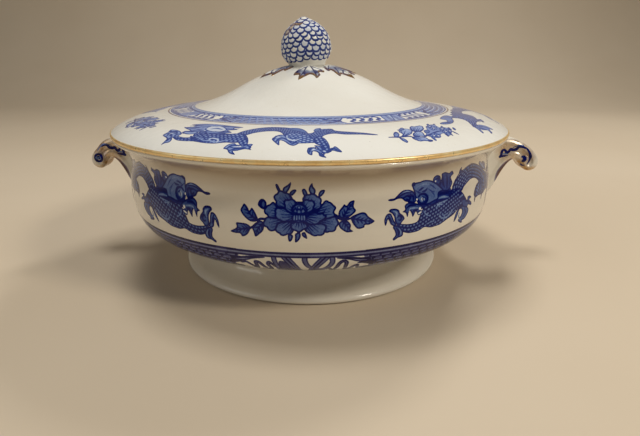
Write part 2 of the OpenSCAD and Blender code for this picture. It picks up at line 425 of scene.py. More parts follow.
    def leaf(self, outline, rib, vein_pairs):
        """a toothed leaf with a midrib and side veins"""
        q = spline(outline, 4, True)
        window = self.window(q, 1)
        d = self.outline_distance(window, q)
        self.over(window, d, 1.0)
        self.over(window, d + 0.50 * self.pen, 0.46)
        m = spline(rib, 8)
        lines = [np.column_stack([m, np.linspace(0.46, 0.20, len(m))])]
        for k in range(vein_pairs):
            i = int((k + 0.7) / (vein_pairs + 0.4) * (len(m) - 2))
            t = m[i + 1] - m[i]
            t /= np.linalg.norm(t) + 1e-9
            for side in (-1, 1):
                v = 0.72 * t + side * 0.70 * np.array([-t[1], t[0]])
                size = 2.6 * (1 - 0.45 * k / vein_pairs)
                lines.append(np.column_stack([[m[i], m[i] + v * size * 0.55, m[i] + v * size],
                                              [0.36, 0.28, 0.10]]))
        for line in lines:
            window = self.window(line, 1)
            d = np.maximum(self.line_distance(window, line), self.outline_distance(window, q))
            self.over(window, d, 0.97, cover=False)

    def paint(self, marks, move=lambda path: path):
        """draws marks written as `kind numbers: points: points` and parted by semicolons

        blob   fill, edge width: outline: outline ...
        line   half widths along it, tone: path: path ...
        disc   radius, tone: centres
        scaly  ground tone, scale tone, scale length, scale width: outline: spine
        petal  streaks, fill: base: outline: outline ...
        leaf   vein pairs: outline: rib
        """
        for mark in marks.split(";"):
            head, *texts = mark.split(":")
            kind, *numbers = head.split()
            numbers = [float(number) for number in numbers]
            paths = [move(points(text)) for text in texts]
            if kind == "blob":
                for path in paths:
                    self.blob(path, *numbers)
            elif kind == "line":
                for path in paths:
                    self.stroke(path, numbers[:-1], numbers[-1])
            elif kind == "disc":
                for x, y in paths[0]:
                    self.disc(x, y, *numbers)
            elif kind == "scaly":
                self.scaly(*paths, *numbers)
            elif kind == "petal":
                for path in paths[1:]:
                    self.petal(path, paths[0][0], *numbers)
            elif kind == "leaf":
                self.leaf(*paths, int(numbers[0]))


# Marching squares. Cell corners a b c d run anticlockwise from the lowest x and y, and the
# edges between them are e (a-b), f (b-c), g (d-c), h (a-d).
CELL_FACES = {1: ["aeh"], 2: ["ebf"], 3: ["abfh"], 4: ["fcg"], 5: ["aeh", "fcg"], 6: ["ebcg"],
              7: ["abcgh"], 8: ["hgd"], 9: ["aegd"], 10: ["ebf", "hgd"], 11: ["abfgd"],
              12: ["hfcd"], 13: ["aefcd"], 14: ["ebcdh"], 15: ["abcd"]}


def cut(canvas, place, top, sink, relief=None):
    """the part of a canvas over half cover, as a closed thin solid laid on a surface

    place maps x, y to positions and normals; the solid runs from top over it to sink under it.
    """
    cover = canvas.cover.copy()
    cover[0, :] = cover[-1, :] = 0
    cover[:, 0] = cover[:, -1] = 0
    ny, nx = cover.shape
    inside = cover >= 0.5
    case = inside[:-1, :-1] * 1 + inside[:-1, 1:] * 2 + inside[1:, 1:] * 4 + inside[1:, :-1] * 8
    j, i = np.nonzero(case > 0)
    case = case[j, i]
    # point codes: grid corners, then the edges along x, then the edges along y
    x_edges = ny * nx
    y_edges = x_edges + ny * (nx - 1)
    code = {"a": j * nx + i, "b": j * nx + i + 1, "c": (j + 1) * nx + i + 1, "d": (j + 1) * nx + i,
            "e": x_edges + j * (nx - 1) + i, "f": y_edges + j * nx + i + 1,
            "g": x_edges + (j + 1) * (nx - 1) + i, "h": y_edges + j * nx + i}
    groups, rim = {3: [], 4: [], 5: []}, []
    for k, polygons in CELL_FACES.items():
        m = case == k
        if not m.any():
            continue
        for corners in polygons:
            face = np.stack([code[c][m] for c in corners], 1)
            groups[len(corners)].append(face)
            for a, b in zip(range(len(corners)), np.roll(range(len(corners)), -1)):
                if corners[a] in "efgh" and corners[b] in "efgh":
                    rim.append(face[:, [a, b]])
    faces = [np.vstack(g) for g in groups.values() if g]
    rim = np.vstack(rim)
    used = np.unique(np.concatenate([f.ravel() for f in faces]))
    n = len(used)
    x, y, tone, gold, raised = (np.zeros(n) for _ in range(5))
    relief = np.zeros_like(cover) if relief is None else relief
    smooth = ((x, canvas.X), (y, canvas.Y), (raised, relief))
    painted = ((tone, canvas.tone), (gold, canvas.gold))
    corner = used < x_edges
    j, i = used[corner] // nx, used[corner] % nx
    for values, source in smooth + painted:
        values[corner] = source[j, i]
    for m, start, dj, di, width in (((used >= x_edges) & (used < y_edges), x_edges, 0, 1, nx - 1),
                                    (used >= y_edges, y_edges, 1, 0, nx)):
        j, i = (used[m] - start) // width, (used[m] - start) % width
        a0, a1 = cover[j, i], cover[j + dj, i + di]
        f = np.clip((0.5 - a0) / np.where(np.abs(a1 - a0) < 1e-9, 1, a1 - a0), 0.02, 0.98)
        for values, source in smooth:
            values[m] = source[j, i] * (1 - f) + source[j + dj, i + di] * f
        for values, source in painted:              # from the covered end of the edge
            values[m] = np.where(a0 > a1, source[j, i], source[j + dj, i + di])
    number = np.full(y_edges + ny * nx + nx, -1)
    number[used] = np.arange(n)
    position, normal = place(x, y)
    v = np.vstack([position + normal * (top + raised)[:, None], position - normal * sink])
    solid = {}
    for face in faces:
        face = number[face]
        solid[face.shape[1]] = [face, face[:, ::-1] + n]
    rim = number[rim]
    solid.setdefault(4, []).append(
        np.stack([rim[:, 1], rim[:, 0], rim[:, 0] + n, rim[:, 1] + n], 1))
    paint = np.stack([tone, gold], 1)
    return v, [np.vstack(g) for g in solid.values()], np.vstack([paint, paint])


def build_print(name, canvas, place, material, body, degrees=0, flip=False, top=0.05, sink=0.14):
    v, faces, paint = cut(canvas, place, top, sink)
    build(name, turned(v, degrees, flip), faces, material, body, "cobalt", paint, sharp=50)


def build_band(name, canvas, repeats, place, material, body, start):
    """a whole ring from one repeat of a canvas, as a closed thin solid"""
    nx = len(canvas.xs) - 1
    tone = np.hstack([canvas.tone[:, :nx]] * repeats)
    gold = np.hstack([canvas.gold[:, :nx]] * repeats)
    n, ny = nx * repeats, len(canvas.ys)
    angle = start + np.arange(n) * 2 * PI / n
    position, normal = place(*np.meshgrid(angle, canvas.ys))
    back = [ny - 1, ny // 2, 0]                     # three rows close the underside
    v = np.vstack([(position + normal * 0.05).reshape(-1, 3),
                   (position - normal * 0.16)[back].reshape(-1, 3)])
    rows = [j * n + np.arange(n) for j in range(ny + 3)]
    quads = [np.stack([a, b, np.roll(b, -1), np.roll(a, -1)], 1)
             for a, b in zip(rows, rows[1:] + rows[:1])]
    paint = np.zeros((len(v), 2))
    paint[:ny * n, 0], paint[:ny * n, 1] = tone.ravel(), gold.ravel()
    paint[ny * n:, 0] = tone[back].ravel()
    build(name, v, [np.vstack(quads)], material, body, "cobalt", paint, sharp=50)


def on_wall(degrees):
    """canvas x is arc length round the belly, y is height"""
    def place(x, y):
        return WALL_PROFILE.skin(WALL_PROFILE.length_at(y, 1), math.radians(degrees) + x / BELLY_R)
    return place


def on_wall_leaning(x, y):
    """on_wall at the front right, slanted: the left-hand transfers stand more upright"""
    k = np.clip((8 - x) / 14, 0, 1)
    head = np.clip((y - 60) / 6, 0, 1) * np.clip((-16 - x) / 12, 0, 1)
    low = np.clip((60 - y) / 6, 0, 1)
    return on_wall(-45.0)(x + 0.27 * (y - 58) * k,
                          y + 2.4 * head - 1.5 * low * k + 1.6 * low * (1 - k))


def on_dome(degrees):
    """canvas x is arc length at radius 106, y is distance in from radius 118"""
    def place(x, y):
        return DOME_PROFILE.skin(DOME_PROFILE.length_at(118.0 - y, 0),
                                 math.radians(degrees) + x / 106.0)
    return place


def on_dome_radial(degrees):
    """canvas y runs straight out from the axis"""
    def place(x, y):
        return DOME_PROFILE.skin(DOME_PROFILE.length_at(np.hypot(x, y), 0),
                                 math.radians(degrees) + np.arctan2(-x, y))
    return place


def wall_band(angle, y):
    return WALL_PROFILE.skin(WALL_PROFILE.length_at(y, 1), angle)


def dome_band(angle, y):
    """the ring of print sits a millimetre off the axis, as the transfer was laid"""
    px, py = (86.3 - y) * np.cos(angle) - 1.1, (86.3 - y) * np.sin(angle)
    return DOME_PROFILE.skin(DOME_PROFILE.length_at(np.hypot(px, py), 0), np.arctan2(py, px))


# ------------------------------------------------------------------ materials
def srgb(red, green, blue):
    def linear(c):
        c /= 255
        return c / 12.92 if c <= 0.04045 else ((c + 0.055) / 1.055) ** 2.4
    return (linear(red), linear(green), linear(blue), 1)


class Shader:
    """a material's node tree, with a short method for each kind of node"""

    def __init__(self, name):
        self.material = bpy.data.materials.new(name)
        self.material.use_nodes = True
        self.tree = self.material.node_tree
        self.tree.nodes.clear()
        output = self.tree.nodes.new("ShaderNodeOutputMaterial")
        self.bsdf = self.tree.nodes.new("ShaderNodeBsdfPrincipled")
        self.tree.links.new(self.bsdf.outputs[0], output.inputs[0])
        self.place = self.tree.nodes.new("ShaderNodeTexCoord").outputs["Object"]

    def plug(self, socket, value):
        if isinstance(value, bpy.types.NodeSocket):
            self.tree.links.new(value, socket)
        else:
            socket.default_value = value

    def put(self, kind, inputs, **properties):
        node = self.tree.nodes.new(kind)
        for key, value in properties.items():
            setattr(node, key, value)
        for key, value in inputs.items():
            self.plug(node.inputs[key], value)
        return node

    def noise(self, scale, detail=3, rough=0.5):
        return self.put("ShaderNodeTexNoise", {"Vector": self.place, "Scale": scale,
                                               "Detail": detail, "Roughness": rough}).outputs["Fac"]

    def cells(self, scale):
        """distance to the nearest of scattered points"""
        return self.put("ShaderNodeTexVoronoi",
                        {"Vector": self.place, "Scale": scale}).outputs["Distance"]

    def height(self):
        return self.put("ShaderNodeSeparateXYZ", {"Vector": self.place}).outputs["Z"]

    def ramp(self, factor, stops):
        node = self.put("ShaderNodeValToRGB", {"Fac": factor})
        elements = node.color_ramp.elements
        while len(elements) < len(stops):
            elements.new(0.5)
        for element, (position, colour) in zip(elements, stops):
            element.position = position
            element.color = colour
        return node.outputs["Color"]

    def span(self, value, source, target=(0.0, 1.0)):
        """maps the source range to the target range"""
        return self.put("ShaderNodeMapRange", {
            "Value": value, "From Min": source[0], "From Max": source[1],
            "To Min": target[0], "To Max": target[1]}).outputs["Result"]

    def mix(self, factor, a, b):
        return self.put("ShaderNodeMix", {0: factor, 6: a, 7: b}, data_type="RGBA").outputs[2]

    def math(self, operation, a, b):
        return self.put("ShaderNodeMath", {0: a, 1: b}, operation=operation).outputs[0]

    def bump(self, height, strength, distance, **inputs):
        return self.put("ShaderNodeBump", {"Strength": strength, "Distance": distance,
                                           "Height": height, **inputs}).outputs[0]

    def set(self, key, value):
        self.plug(self.bsdf.inputs[key], value)


def glaze_surface(t, specular, coat, rough=0.0):
    """roughness, bump and clear coat of every glazed surface; rough is added roughness"""
    peel = t.noise(scale=240, rough=0.55)
    fine = t.noise(scale=1400, detail=2)
    height = t.math("ADD", t.math("MULTIPLY", peel, 1.0), t.math("MULTIPLY", fine, 0.12))
    pits = t.span(t.cells(scale=420), (0.0, 0.10), (1.0, 0.0))
    gate = t.span(t.noise(scale=60, detail=1), (0.60, 0.68))
    height = t.math("SUBTRACT", height, t.math("MULTIPLY", t.math("MULTIPLY", pits, gate), 0.5))
    skin = t.bump(height, strength=0.20, distance=0.0006)
    t.set("Normal", t.bump(t.noise(scale=38, detail=2), strength=0.35, distance=0.0012,
                           Normal=skin))
    t.set("Roughness", t.span(t.noise(scale=90, detail=4, rough=0.6), (0.3, 0.7),
                              (0.08 + rough, 0.16 + rough)))
    t.set("Coat Weight", coat)
    t.set("Coat Roughness", t.span(t.noise(scale=150, rough=0.6), (0.35, 0.7), (0.03, 0.08)))
    t.set("Specular IOR Level", specular)
    t.set("Coat IOR", 1.5)
    t.set("IOR", 1.5)


def white_glaze(t, warm):
    """warm white lead glaze: cloudy tone, thin iron specks and a faint mottle"""
    base = t.ramp(t.noise(scale=9, detail=4, rough=0.6),
                  [(0.30, srgb(230, 227, 218)), (0.52, srgb(236, 235, 229)),
                   (0.72, srgb(240, 239, 234))])
    if warm:
        base = t.mix(warm, base, srgb(216, 207, 190))
    specks = t.span(t.cells(scale=260), (0.035, 0.075), (1.0, 0.0))
    sparse = t.span(t.noise(scale=75, detail=1), (0.63, 0.66))
    base = t.mix(t.math("MULTIPLY", t.math("MULTIPLY", specks, sparse), 0.6), base,
                 srgb(96, 80, 62))
    mottle = t.span(t.noise(scale=520, detail=2, rough=0.6), (0.66, 0.80), (0.0, 0.28))
    return t.mix(mottle, base, srgb(205, 192, 164))


def foot_painted_shade(t, base):
    """painted shade: the foot browns and darkens towards the ground, fading out above it"""
    low = t.math("MULTIPLY", t.span(t.height(), (0.0, 0.016), (0.14, 0.0)),
                 t.span(t.noise(scale=30, detail=4), (0.3, 0.7), (0.4, 1.0)))
    return t.mix(low, base, srgb(176, 156, 122))


def under_lip_painted_shade(t, base):
    """painted shade: the wall is darkened and browned towards the rim, where the overhanging rim
    and cover shade it, and the darkening stops short of the lip
    """
    z = t.height()
    below_lip = t.span(z, (0.0822, 0.0836), (1.0, 0.0))
    # painted shade: a faint darkening of the upper wall
    faint_shade = t.span(z, (0.048, 0.064), (0.0, 0.16))
    base = t.mix(t.math("MULTIPLY", faint_shade, below_lip), base, srgb(156, 136, 108))
    # painted shade: a stronger browning just under the lip
    lip_shade = t.math("MULTIPLY", t.span(z, (0.0700, 0.0800), (0.0, 0.8)), below_lip)
    return t.mix(lip_shade, base, srgb(150, 128, 98))


def make_glaze(name, warm=0.0, specular=0.5, coat=0.45, tint=None):
    t = Shader(name)
    base = white_glaze(t, warm)
    if tint:
        base = tint(t, base)
    t.set("Base Color", base)
    glaze_surface(t, specular, coat)
    return t.material


# position, sRGB colour, share of the greying taken off the blue
COBALT = [(0.0, (184, 194, 220), 2), (0.16, (144, 166, 210), 1), (0.32, (98, 121, 187), 1.5),
          (0.50, (55, 80, 153), 1.3), (0.75, (10, 32, 122), 0.5), (1.0, (0, 8, 88), 0.0)]


def make_print(name, warm=0.0, brown=0.0, gilded=False, lift=0.0, grey=0.0, rough=0.0):
    """cobalt under the glaze, following the Paint attribute: red is tone, green is gilding

    warm yellows the white, brown mixes in a brown ink, lift lightens and grey dulls the blue.
    """
    t = Shader(name)
    paint = t.put("ShaderNodeVertexColor", {}, layer_name="Paint")
    channels = t.put("ShaderNodeSeparateColor", {"Color": paint.outputs["Color"]})
    tone = channels.outputs["Red"]
    pool = t.span(t.noise(scale=55, rough=0.6), (0.25, 0.75), (-0.07, 0.07))
    grain = t.span(t.noise(scale=900, detail=2, rough=0.6), (0.3, 0.7), (-0.06, 0.06))
    inked = t.span(tone, (0.04, 0.25))
    uneven = t.math("ADD", tone, t.math("MULTIPLY", t.math("ADD", pool, grain), inked))

    def shade(rgb, greying):
        red, green, blue = (c + share * lift * (1 - c / 255)
                            for c, share in zip(rgb, (0.95, 1.0, 0.9)))
        return srgb(red, green, blue - greying * grey)
    ink = t.ramp(uneven, [(position, shade(rgb, greying)) for position, rgb, greying in COBALT])
    if brown:
        ink = t.mix(brown, ink, t.ramp(uneven, [(0.1, srgb(150, 136, 136)),
                                                (0.5, srgb(98, 82, 88)), (1.0, srgb(34, 20, 24))]))
    base = t.mix(t.span(tone, (0.02, 0.16)), white_glaze(t, warm), ink)
    glaze_surface(t, specular=0.22, coat=0.0 if rough else 0.06, rough=rough)
    if gilded:
        rubbed = t.span(t.noise(scale=160, detail=4, rough=0.65), (0.36, 0.60), (0.35, 1.0))
        amount = t.math("MULTIPLY", channels.outputs["Green"], rubbed)
        gold = t.ramp(t.noise(scale=120, rough=0.6), [(0.25, srgb(146, 106, 60)),
                      (0.55, srgb(192, 148, 86)), (0.8, srgb(226, 188, 126))])
        base = t.mix(amount, base, gold)
        t.set("Metallic", t.math("MULTIPLY", amount, 0.7))
    t.set("Base Color", base)
    return t.material


def make_gilding(name):
    t = Shader(name)
    wear = t.span(t.noise(scale=210, detail=5, rough=0.7), (0.64, 0.74))
    rubbed = t.span(t.noise(scale=26, detail=2), (0.30, 0.75), (0.10, 0.9))
    gold = t.ramp(t.noise(scale=170, detail=4, rough=0.6), [(0.2, srgb(236, 190, 122)),
                  (0.5, srgb(255, 222, 158)), (0.8, srgb(255, 242, 196))])
    bare = t.math("MULTIPLY", wear, rubbed)
    t.set("Base Color", t.mix(bare, gold, srgb(224, 206, 168)))
    t.set("Metallic", t.span(bare, (0, 1), (0.52, 0.1)))
    t.set("Roughness", t.span(t.noise(scale=300, detail=4, rough=0.6), (0.3, 0.7), (0.24, 0.42)))
    t.set("Normal", t.bump(t.noise(scale=380, rough=0.6), strength=0.25, distance=0.0004))
    return t.material


# On the bowl, foot, handles and the bowl's prints, warm tans the same white glaze that the cover
# shows plain: this warmth is painted shade and painted reflection from below.
GLAZE_COVER = make_glaze("glaze_cover", specular=0.42, coat=0.15)
GLAZE_BOWL = make_glaze("glaze_bowl", warm=0.60, tint=under_lip_painted_shade)
GLAZE_FOOT = make_glaze("glaze_foot", warm=0.50, tint=foot_painted_shade)
PRINT_BOWL = make_print("cobalt_bowl", warm=0.30, grey=10)
PRINT_COVER = make_print("cobalt_cover", lift=50)
BAND_BOWL = make_print("cobalt_bowl_band", warm=0.12, brown=0.45)
BAND_COVER = make_print("cobalt_cover_band", gilded=True, lift=48)
GLAZE_HANDLE = make_print("glaze_handle", warm=0.45, brown=0.70, gilded=True, rough=0.14)
PAINTED_LEAF = make_print("painted_leaf", brown=0.45, gilded=True, grey=18)
PAINTED_FINIAL = make_print("painted_finial", gilded=True, lift=46)
GILDING = make_gilding("gilding")


# ------------------------------------------------------------------ the prints' drawings
# Marks for Canvas.paint, in mm on the surface. Later marks lie over earlier ones.
BOWL_DRAGON = """
blob 0.74 0.2: -31.4,66.4 -30.6,62.6 -28.2,60 -24,58 -16,58.6 -9.4,61.4 -7.4,65 -9.6,68.6
  -14.6,70.2 -22,68;
scaly 1 0.34 2 1.72: -7.7,64.4 -5.4,66.9 -3.1,69.6 -1,72.3 1.1,74.4 3.7,75.9 6.9,76.7 13.3,75.5
  22.2,72.7 30.3,69.5 37.3,66.5 46,63.7 46.1,61.5 43.9,59.4 40.6,57.2 33.6,57 28.2,56.2 21.2,56.9
  17.2,56.7 14.5,58.6 16.1,61.4 18.9,63.2 22.1,64.1 19.9,65.9 16.4,67.2 11.6,67.4 7.2,66.1 4,64.8
  1.6,63.2 -3.2,62: -3.5,62.2 -1.9,65.7 1.3,68.2 4.6,70.7 8.6,72.4 15.4,71.4 24,68.6 30.3,64.9
  29,61.8 22.4,59.8 18.6,57.7;
line 0.2 0.5 0.2 1: -6.3,66.4 -4.9,68.3 -2.9,70.7 -1.7,72.6;
blob 0.85 0.4: -1.7,72.6 -2.4,74.5 -2.2,76.4 -0.7,74.5 0.9,74.2 -0.1,72.8;
blob 0.72 0.5: 20.1,73.7 17.8,75.3 18,76.2 22.8,74.4 24.2,75 30.9,73.1 35.8,70.5 38.1,67.2
  30.2,69.7;
line 0.2 0.4 0.2 0.25: 20.4,74.8 26.4,72.3 33.4,69.3;
line 0.35 0.9 1.2 0.9: 43.3,71.6 49.3,68.6 46.1,67 40.9,66.2;
line 1.3 1.0 0.7 0.25 0.9: 41.7,57.5 40.7,54.8 39.1,51.5 41.3,46.1;
line 0.9 0.5 0.2 0.9: 27.1,56.9 26.9,55.5 26.5,53.7;
line 0.9 0.6 0.25 1: 16.5,57.5 16.2,56.2 16,54.6;
line 0.15 0.35 0.15 0.3: 27.3,67.6 32,63.4 29.9,60.4;
line 0.15 0.35 0.15 0.25: 21.2,63.4 21.2,61.2 18.5,59.3;
line 0.15 0.35 0.15 0.35: 25,62 24.9,59.9 22.4,58.5;
scaly 1 0.34 2 1.72: -42.4,52.2 -39.4,50 -36.6,48.8 -33.8,48.3 -29.5,48.6 -25.8,49.9 -22,49
  -18.8,49 -15.4,49.2 -12.7,50.1 -9.2,51.3 -5.5,52.4 -2.4,54.3 0.7,55.3 5.1,55.3 6.5,56.7 4.3,60.1
  1.5,62.9 -1.6,64.8 -7.7,65.1 -12.1,64.6 -17.1,62.4 -21.5,61 -25.6,60.7 -27.6,59.6 -29.5,56.2
  -30.7,53.7 -34.8,53.1 -39.3,53.7 -41.9,54.1: -41.8,52.9 -35.5,51.2 -29.1,52.1 -23.4,54.4
  -17.1,56.1 -10.2,58.8 -4.3,60.5 -0.6,61.4;
line 0.1 0.3 0.1 0.3: -27.7,59.1 -25.6,56.4 -22.4,55;
line 0.15 0.4 0.45 0.2 0.3: -16.2,55.7 -16,53.8 -13.7,52.3 -10.1,52.6 -7.3,54.6 -5.8,55.9;
line 0.15 0.35 0.15 0.35: -14.7,55.2 -13.4,53.7 -10.4,54.4;
line 0.15 0.3 0.1 0.4: -25,51.4 -22,51.9 -18.8,51.9;
line 0.15 0.45 0.2 0.3: -18.4,59.9 -15.5,60.6 -12,61.1 -10.3,62.4;
line 0.1 0.3 0.1 0.3: -19.5,58.5 -17.3,59.7 -13.8,59.5;
blob 0.66 0.6: -16.6,68.1 -15.6,70.3 -15.7,73.1 -16.5,74.9 -14.5,75.5 -10.9,74.6 -9.4,75.5
  -6.9,73.6 -8.3,72 -6.4,69 -7.9,66.5 -10.5,65.2 -14.1,65.9;
line 0.2 0.55 0.2 1: -14.5,73 -14,70.4 -12.5,67.4: -12.1,73.4 -10.7,70.3 -10.7,66.7;
line 0.15 0.35 0.15 1: -9.5,72.6 -8.4,69.9 -9.1,67.7;
blob 0.62 0.6: -21,71.3 -21.3,73.6 -19.8,74.7 -17.1,73.8 -15.6,71.1 -16.7,69.2 -18.7,69.9;
line 0.2 0.5 0.2 1: -19.6,72.5 -18.1,72.9 -17.1,71.3;
disc 0.55 0.02: -19.4,71.4;
blob 0.72 0.5: -20,65.3 -13.8,65.5 -7.7,65 -6.2,64.2 -9.2,63.2 -7.4,62.5 -11.3,61.4 -13.7,61.1
  -17.2,60.9 -19.3,62.3;
line 0.2 0.5 0.2 1: -17.9,64.4 -13.3,64.5 -9.1,64.1;
line 0.2 0.5 0.2 0.3: -17.6,62.8 -13.5,63 -10,62.3;
line 0.2 0.5 0.2 1: -18.8,61.7 -15.4,61.7 -12.5,61.6;
blob 0.55 0.55: -39.3,59.5 -37.9,60.5 -38,62.3 -35.8,63.5 -32.2,62.8 -28.5,61.5 -27.1,59.9
  -28.9,59.2 -30.7,57.6 -31.9,58.7 -33.5,56.4 -34.5,58.5 -35.6,59.6 -36.6,56.7 -37.6,58.8;
line 0.2 0.4 0.2 1: -36.9,61.1 -35,62 -31.8,61.7;
line 0.15 0.35 0.15 0.25: -36,59.5 -34.6,60.6 -30.5,60.4;
line 0.15 0.35 0.15 1: -33.8,58.4 -32.9,59.4 -30.5,59.5;
blob 0.02 0.35: -31,58 -28.9,58.9 -27.6,58.1 -28.6,57.3 -30.2,56.7;
blob 0.6 0.6: -46.6,65.8 -45.1,66.2 -43.2,66.3 -41.3,67.8 -39.2,69.2 -36.6,69.6 -34,69 -32.2,67.7
  -31.1,65.2 -32.2,62.9 -35.4,63.5 -37.7,64.2 -39.4,65.6 -41.6,65.7 -43.9,65.1 -46,65.2;
line 0.15 0.35 0.2 1: -43,65.8 -40,67.1 -36.9,68.1 -34.2,67.8;
line 0.2 0.5 0.25 1: -38.8,65.7 -36.5,66.6 -34.7,66 -35.3,64.6 -36.8,65.1;
line 0.2 0.45 0.2 1: -34.7,67.1 -32.9,65.8 -33,63.9;
line 0.1 0.25 0.1 0.25: -38.9,68.3 -36.5,68.8 -34.7,68.4;
blob 0.40 0.6: -33.9,71.1 -33.8,72.4 -32,72.5 -29.7,72.6 -27,73.1 -23.3,72.6 -19.8,71.2
  -15.8,68.6 -13.3,66.1 -16.7,65.3 -17.5,62.6 -20.4,61.9 -23.1,61.2 -25.6,60.9 -27.7,61.2
  -29.4,62.2 -30.6,64 -31.8,65.4 -32.4,67.9;
line 0.1 0.3 0.1 0.8: -31.6,68.6 -29.4,67.2 -28.6,67.4;
line 0.1 0.3 0.1 0.7: -24.6,70.9 -21.4,69.6 -18.8,67.6;
line 0.1 0.25 0.1 0.7: -23.8,68.4 -21.6,67.0 -19.6,66.2;
disc 1.1 1: -33.1,71.7;
line 0.15 0.45 0.15 0.9: -29.8,68 -28.2,68.9 -26.7,69.3: -27.6,67.5 -25.6,67.8 -24.4,68.8;
line 0.1 0.35 0.1 0.3: -31.1,69.7 -29.3,70.6 -26.4,71 -22.8,70.3;
line 0.1 0.3 0.1 0.62: -22.1,66.9 -20,65.1 -20.5,63.3;
line 0.35 0.55 0.55 0.3 0.95: -29.9,65.4 -28.6,66.3 -26.2,66.2 -24.5,64.6 -25,62.8 -27,61.8
  -29.2,62.5 -30,63.9;
disc 1.5 0.30: -27.3,64;
disc 0.85 0.04: -27.4,64.0;
line 0.15 0.3 0.15 0.9: -27.0,65.0 -27.3,64 -27.1,63.1;
line 0.15 0.28 0.15 0.9: -27.7,65.3 -25.8,64.4 -26.1,63 -27.5,62.7;
disc 0.55 0: -30.9,64.3;
disc 0.75 0: -29.4,59.8;
blob 0.5 0.55: -0.4,55.2 3.4,55.4 7.5,53.9 9.5,51.6 8.9,49.5 6.5,47.4 4.2,47.1 4.5,45.6 1.4,46.7
  -0.1,48.2 1.7,50 2.6,52 1.7,53.8 -0.2,54.1 -1.1,52.2 -2.1,49.8 -4.1,48.1 -3.9,51.1 -2.7,53.6;
line 0.15 0.4 0.15 1: 4.6,53.7 6.1,51.1 4.4,48.9;
line 0.15 0.35 0.15 0.25: 0.2,52.1 -0.1,50.4 1.4,48.3;
blob 0.6 0.5: 1.1,58.3 3.8,58.9 6.8,57.7 7.2,59.1 9.4,59.4 11.3,58.2 9.2,57.3 11.8,55.4 11.7,53.8
  8.2,54.8 7.1,53.7 2.7,55;
line 0.15 0.35 0.15 1: 4.7,57.5 7.8,56.6 9.5,55.2;
blob 0.5 0.6: -46.5,60.6 -45.4,61.6 -42.8,61.5 -41.1,60.5 -40.7,59.3 -39,57.9 -38.1,56.2
  -39.3,54.8 -40.2,53.7 -42.2,53.8 -43.3,55.6 -43.8,57.8 -44.9,59.4;
line 0.2 0.45 0.2 1: -41.9,57.2 -41.2,58.1 -39.9,57.2 -40.3,55.8 -41.4,56;
line 0.15 0.35 0.15 0.22: -44.2,60.5 -42.5,59.6 -42.5,57.7;
blob 0.42 0.55: -48.2,53.9 -48.8,56.5 -48.1,58.7 -46.9,59.6 -45.5,59.5 -44.7,58.2 -43.7,55.9
  -42.5,54 -43.5,53.2 -45.3,54.2 -46.3,56 -47,56.9 -47.5,54.8;
line 0.15 0.35 0.15 1: -46.9,58.6 -46,57.3 -44.7,55.2;
blob 0.55 0.6: -43.6,53.5 -41.3,53.2 -38.9,50.8 -38.2,48.4 -39,47.2 -40.9,46.8 -42.8,45.7
  -43.6,46.6 -42.4,48.5 -43,50.6 -44.1,52.4;
line 0.2 0.5 0.2 1: -42.2,52.1 -40.7,49.9 -40.9,47.9;
line 0.1 0.3 0.1 0.25: -40.9,52 -39.6,49.7 -39.6,48.1
"""

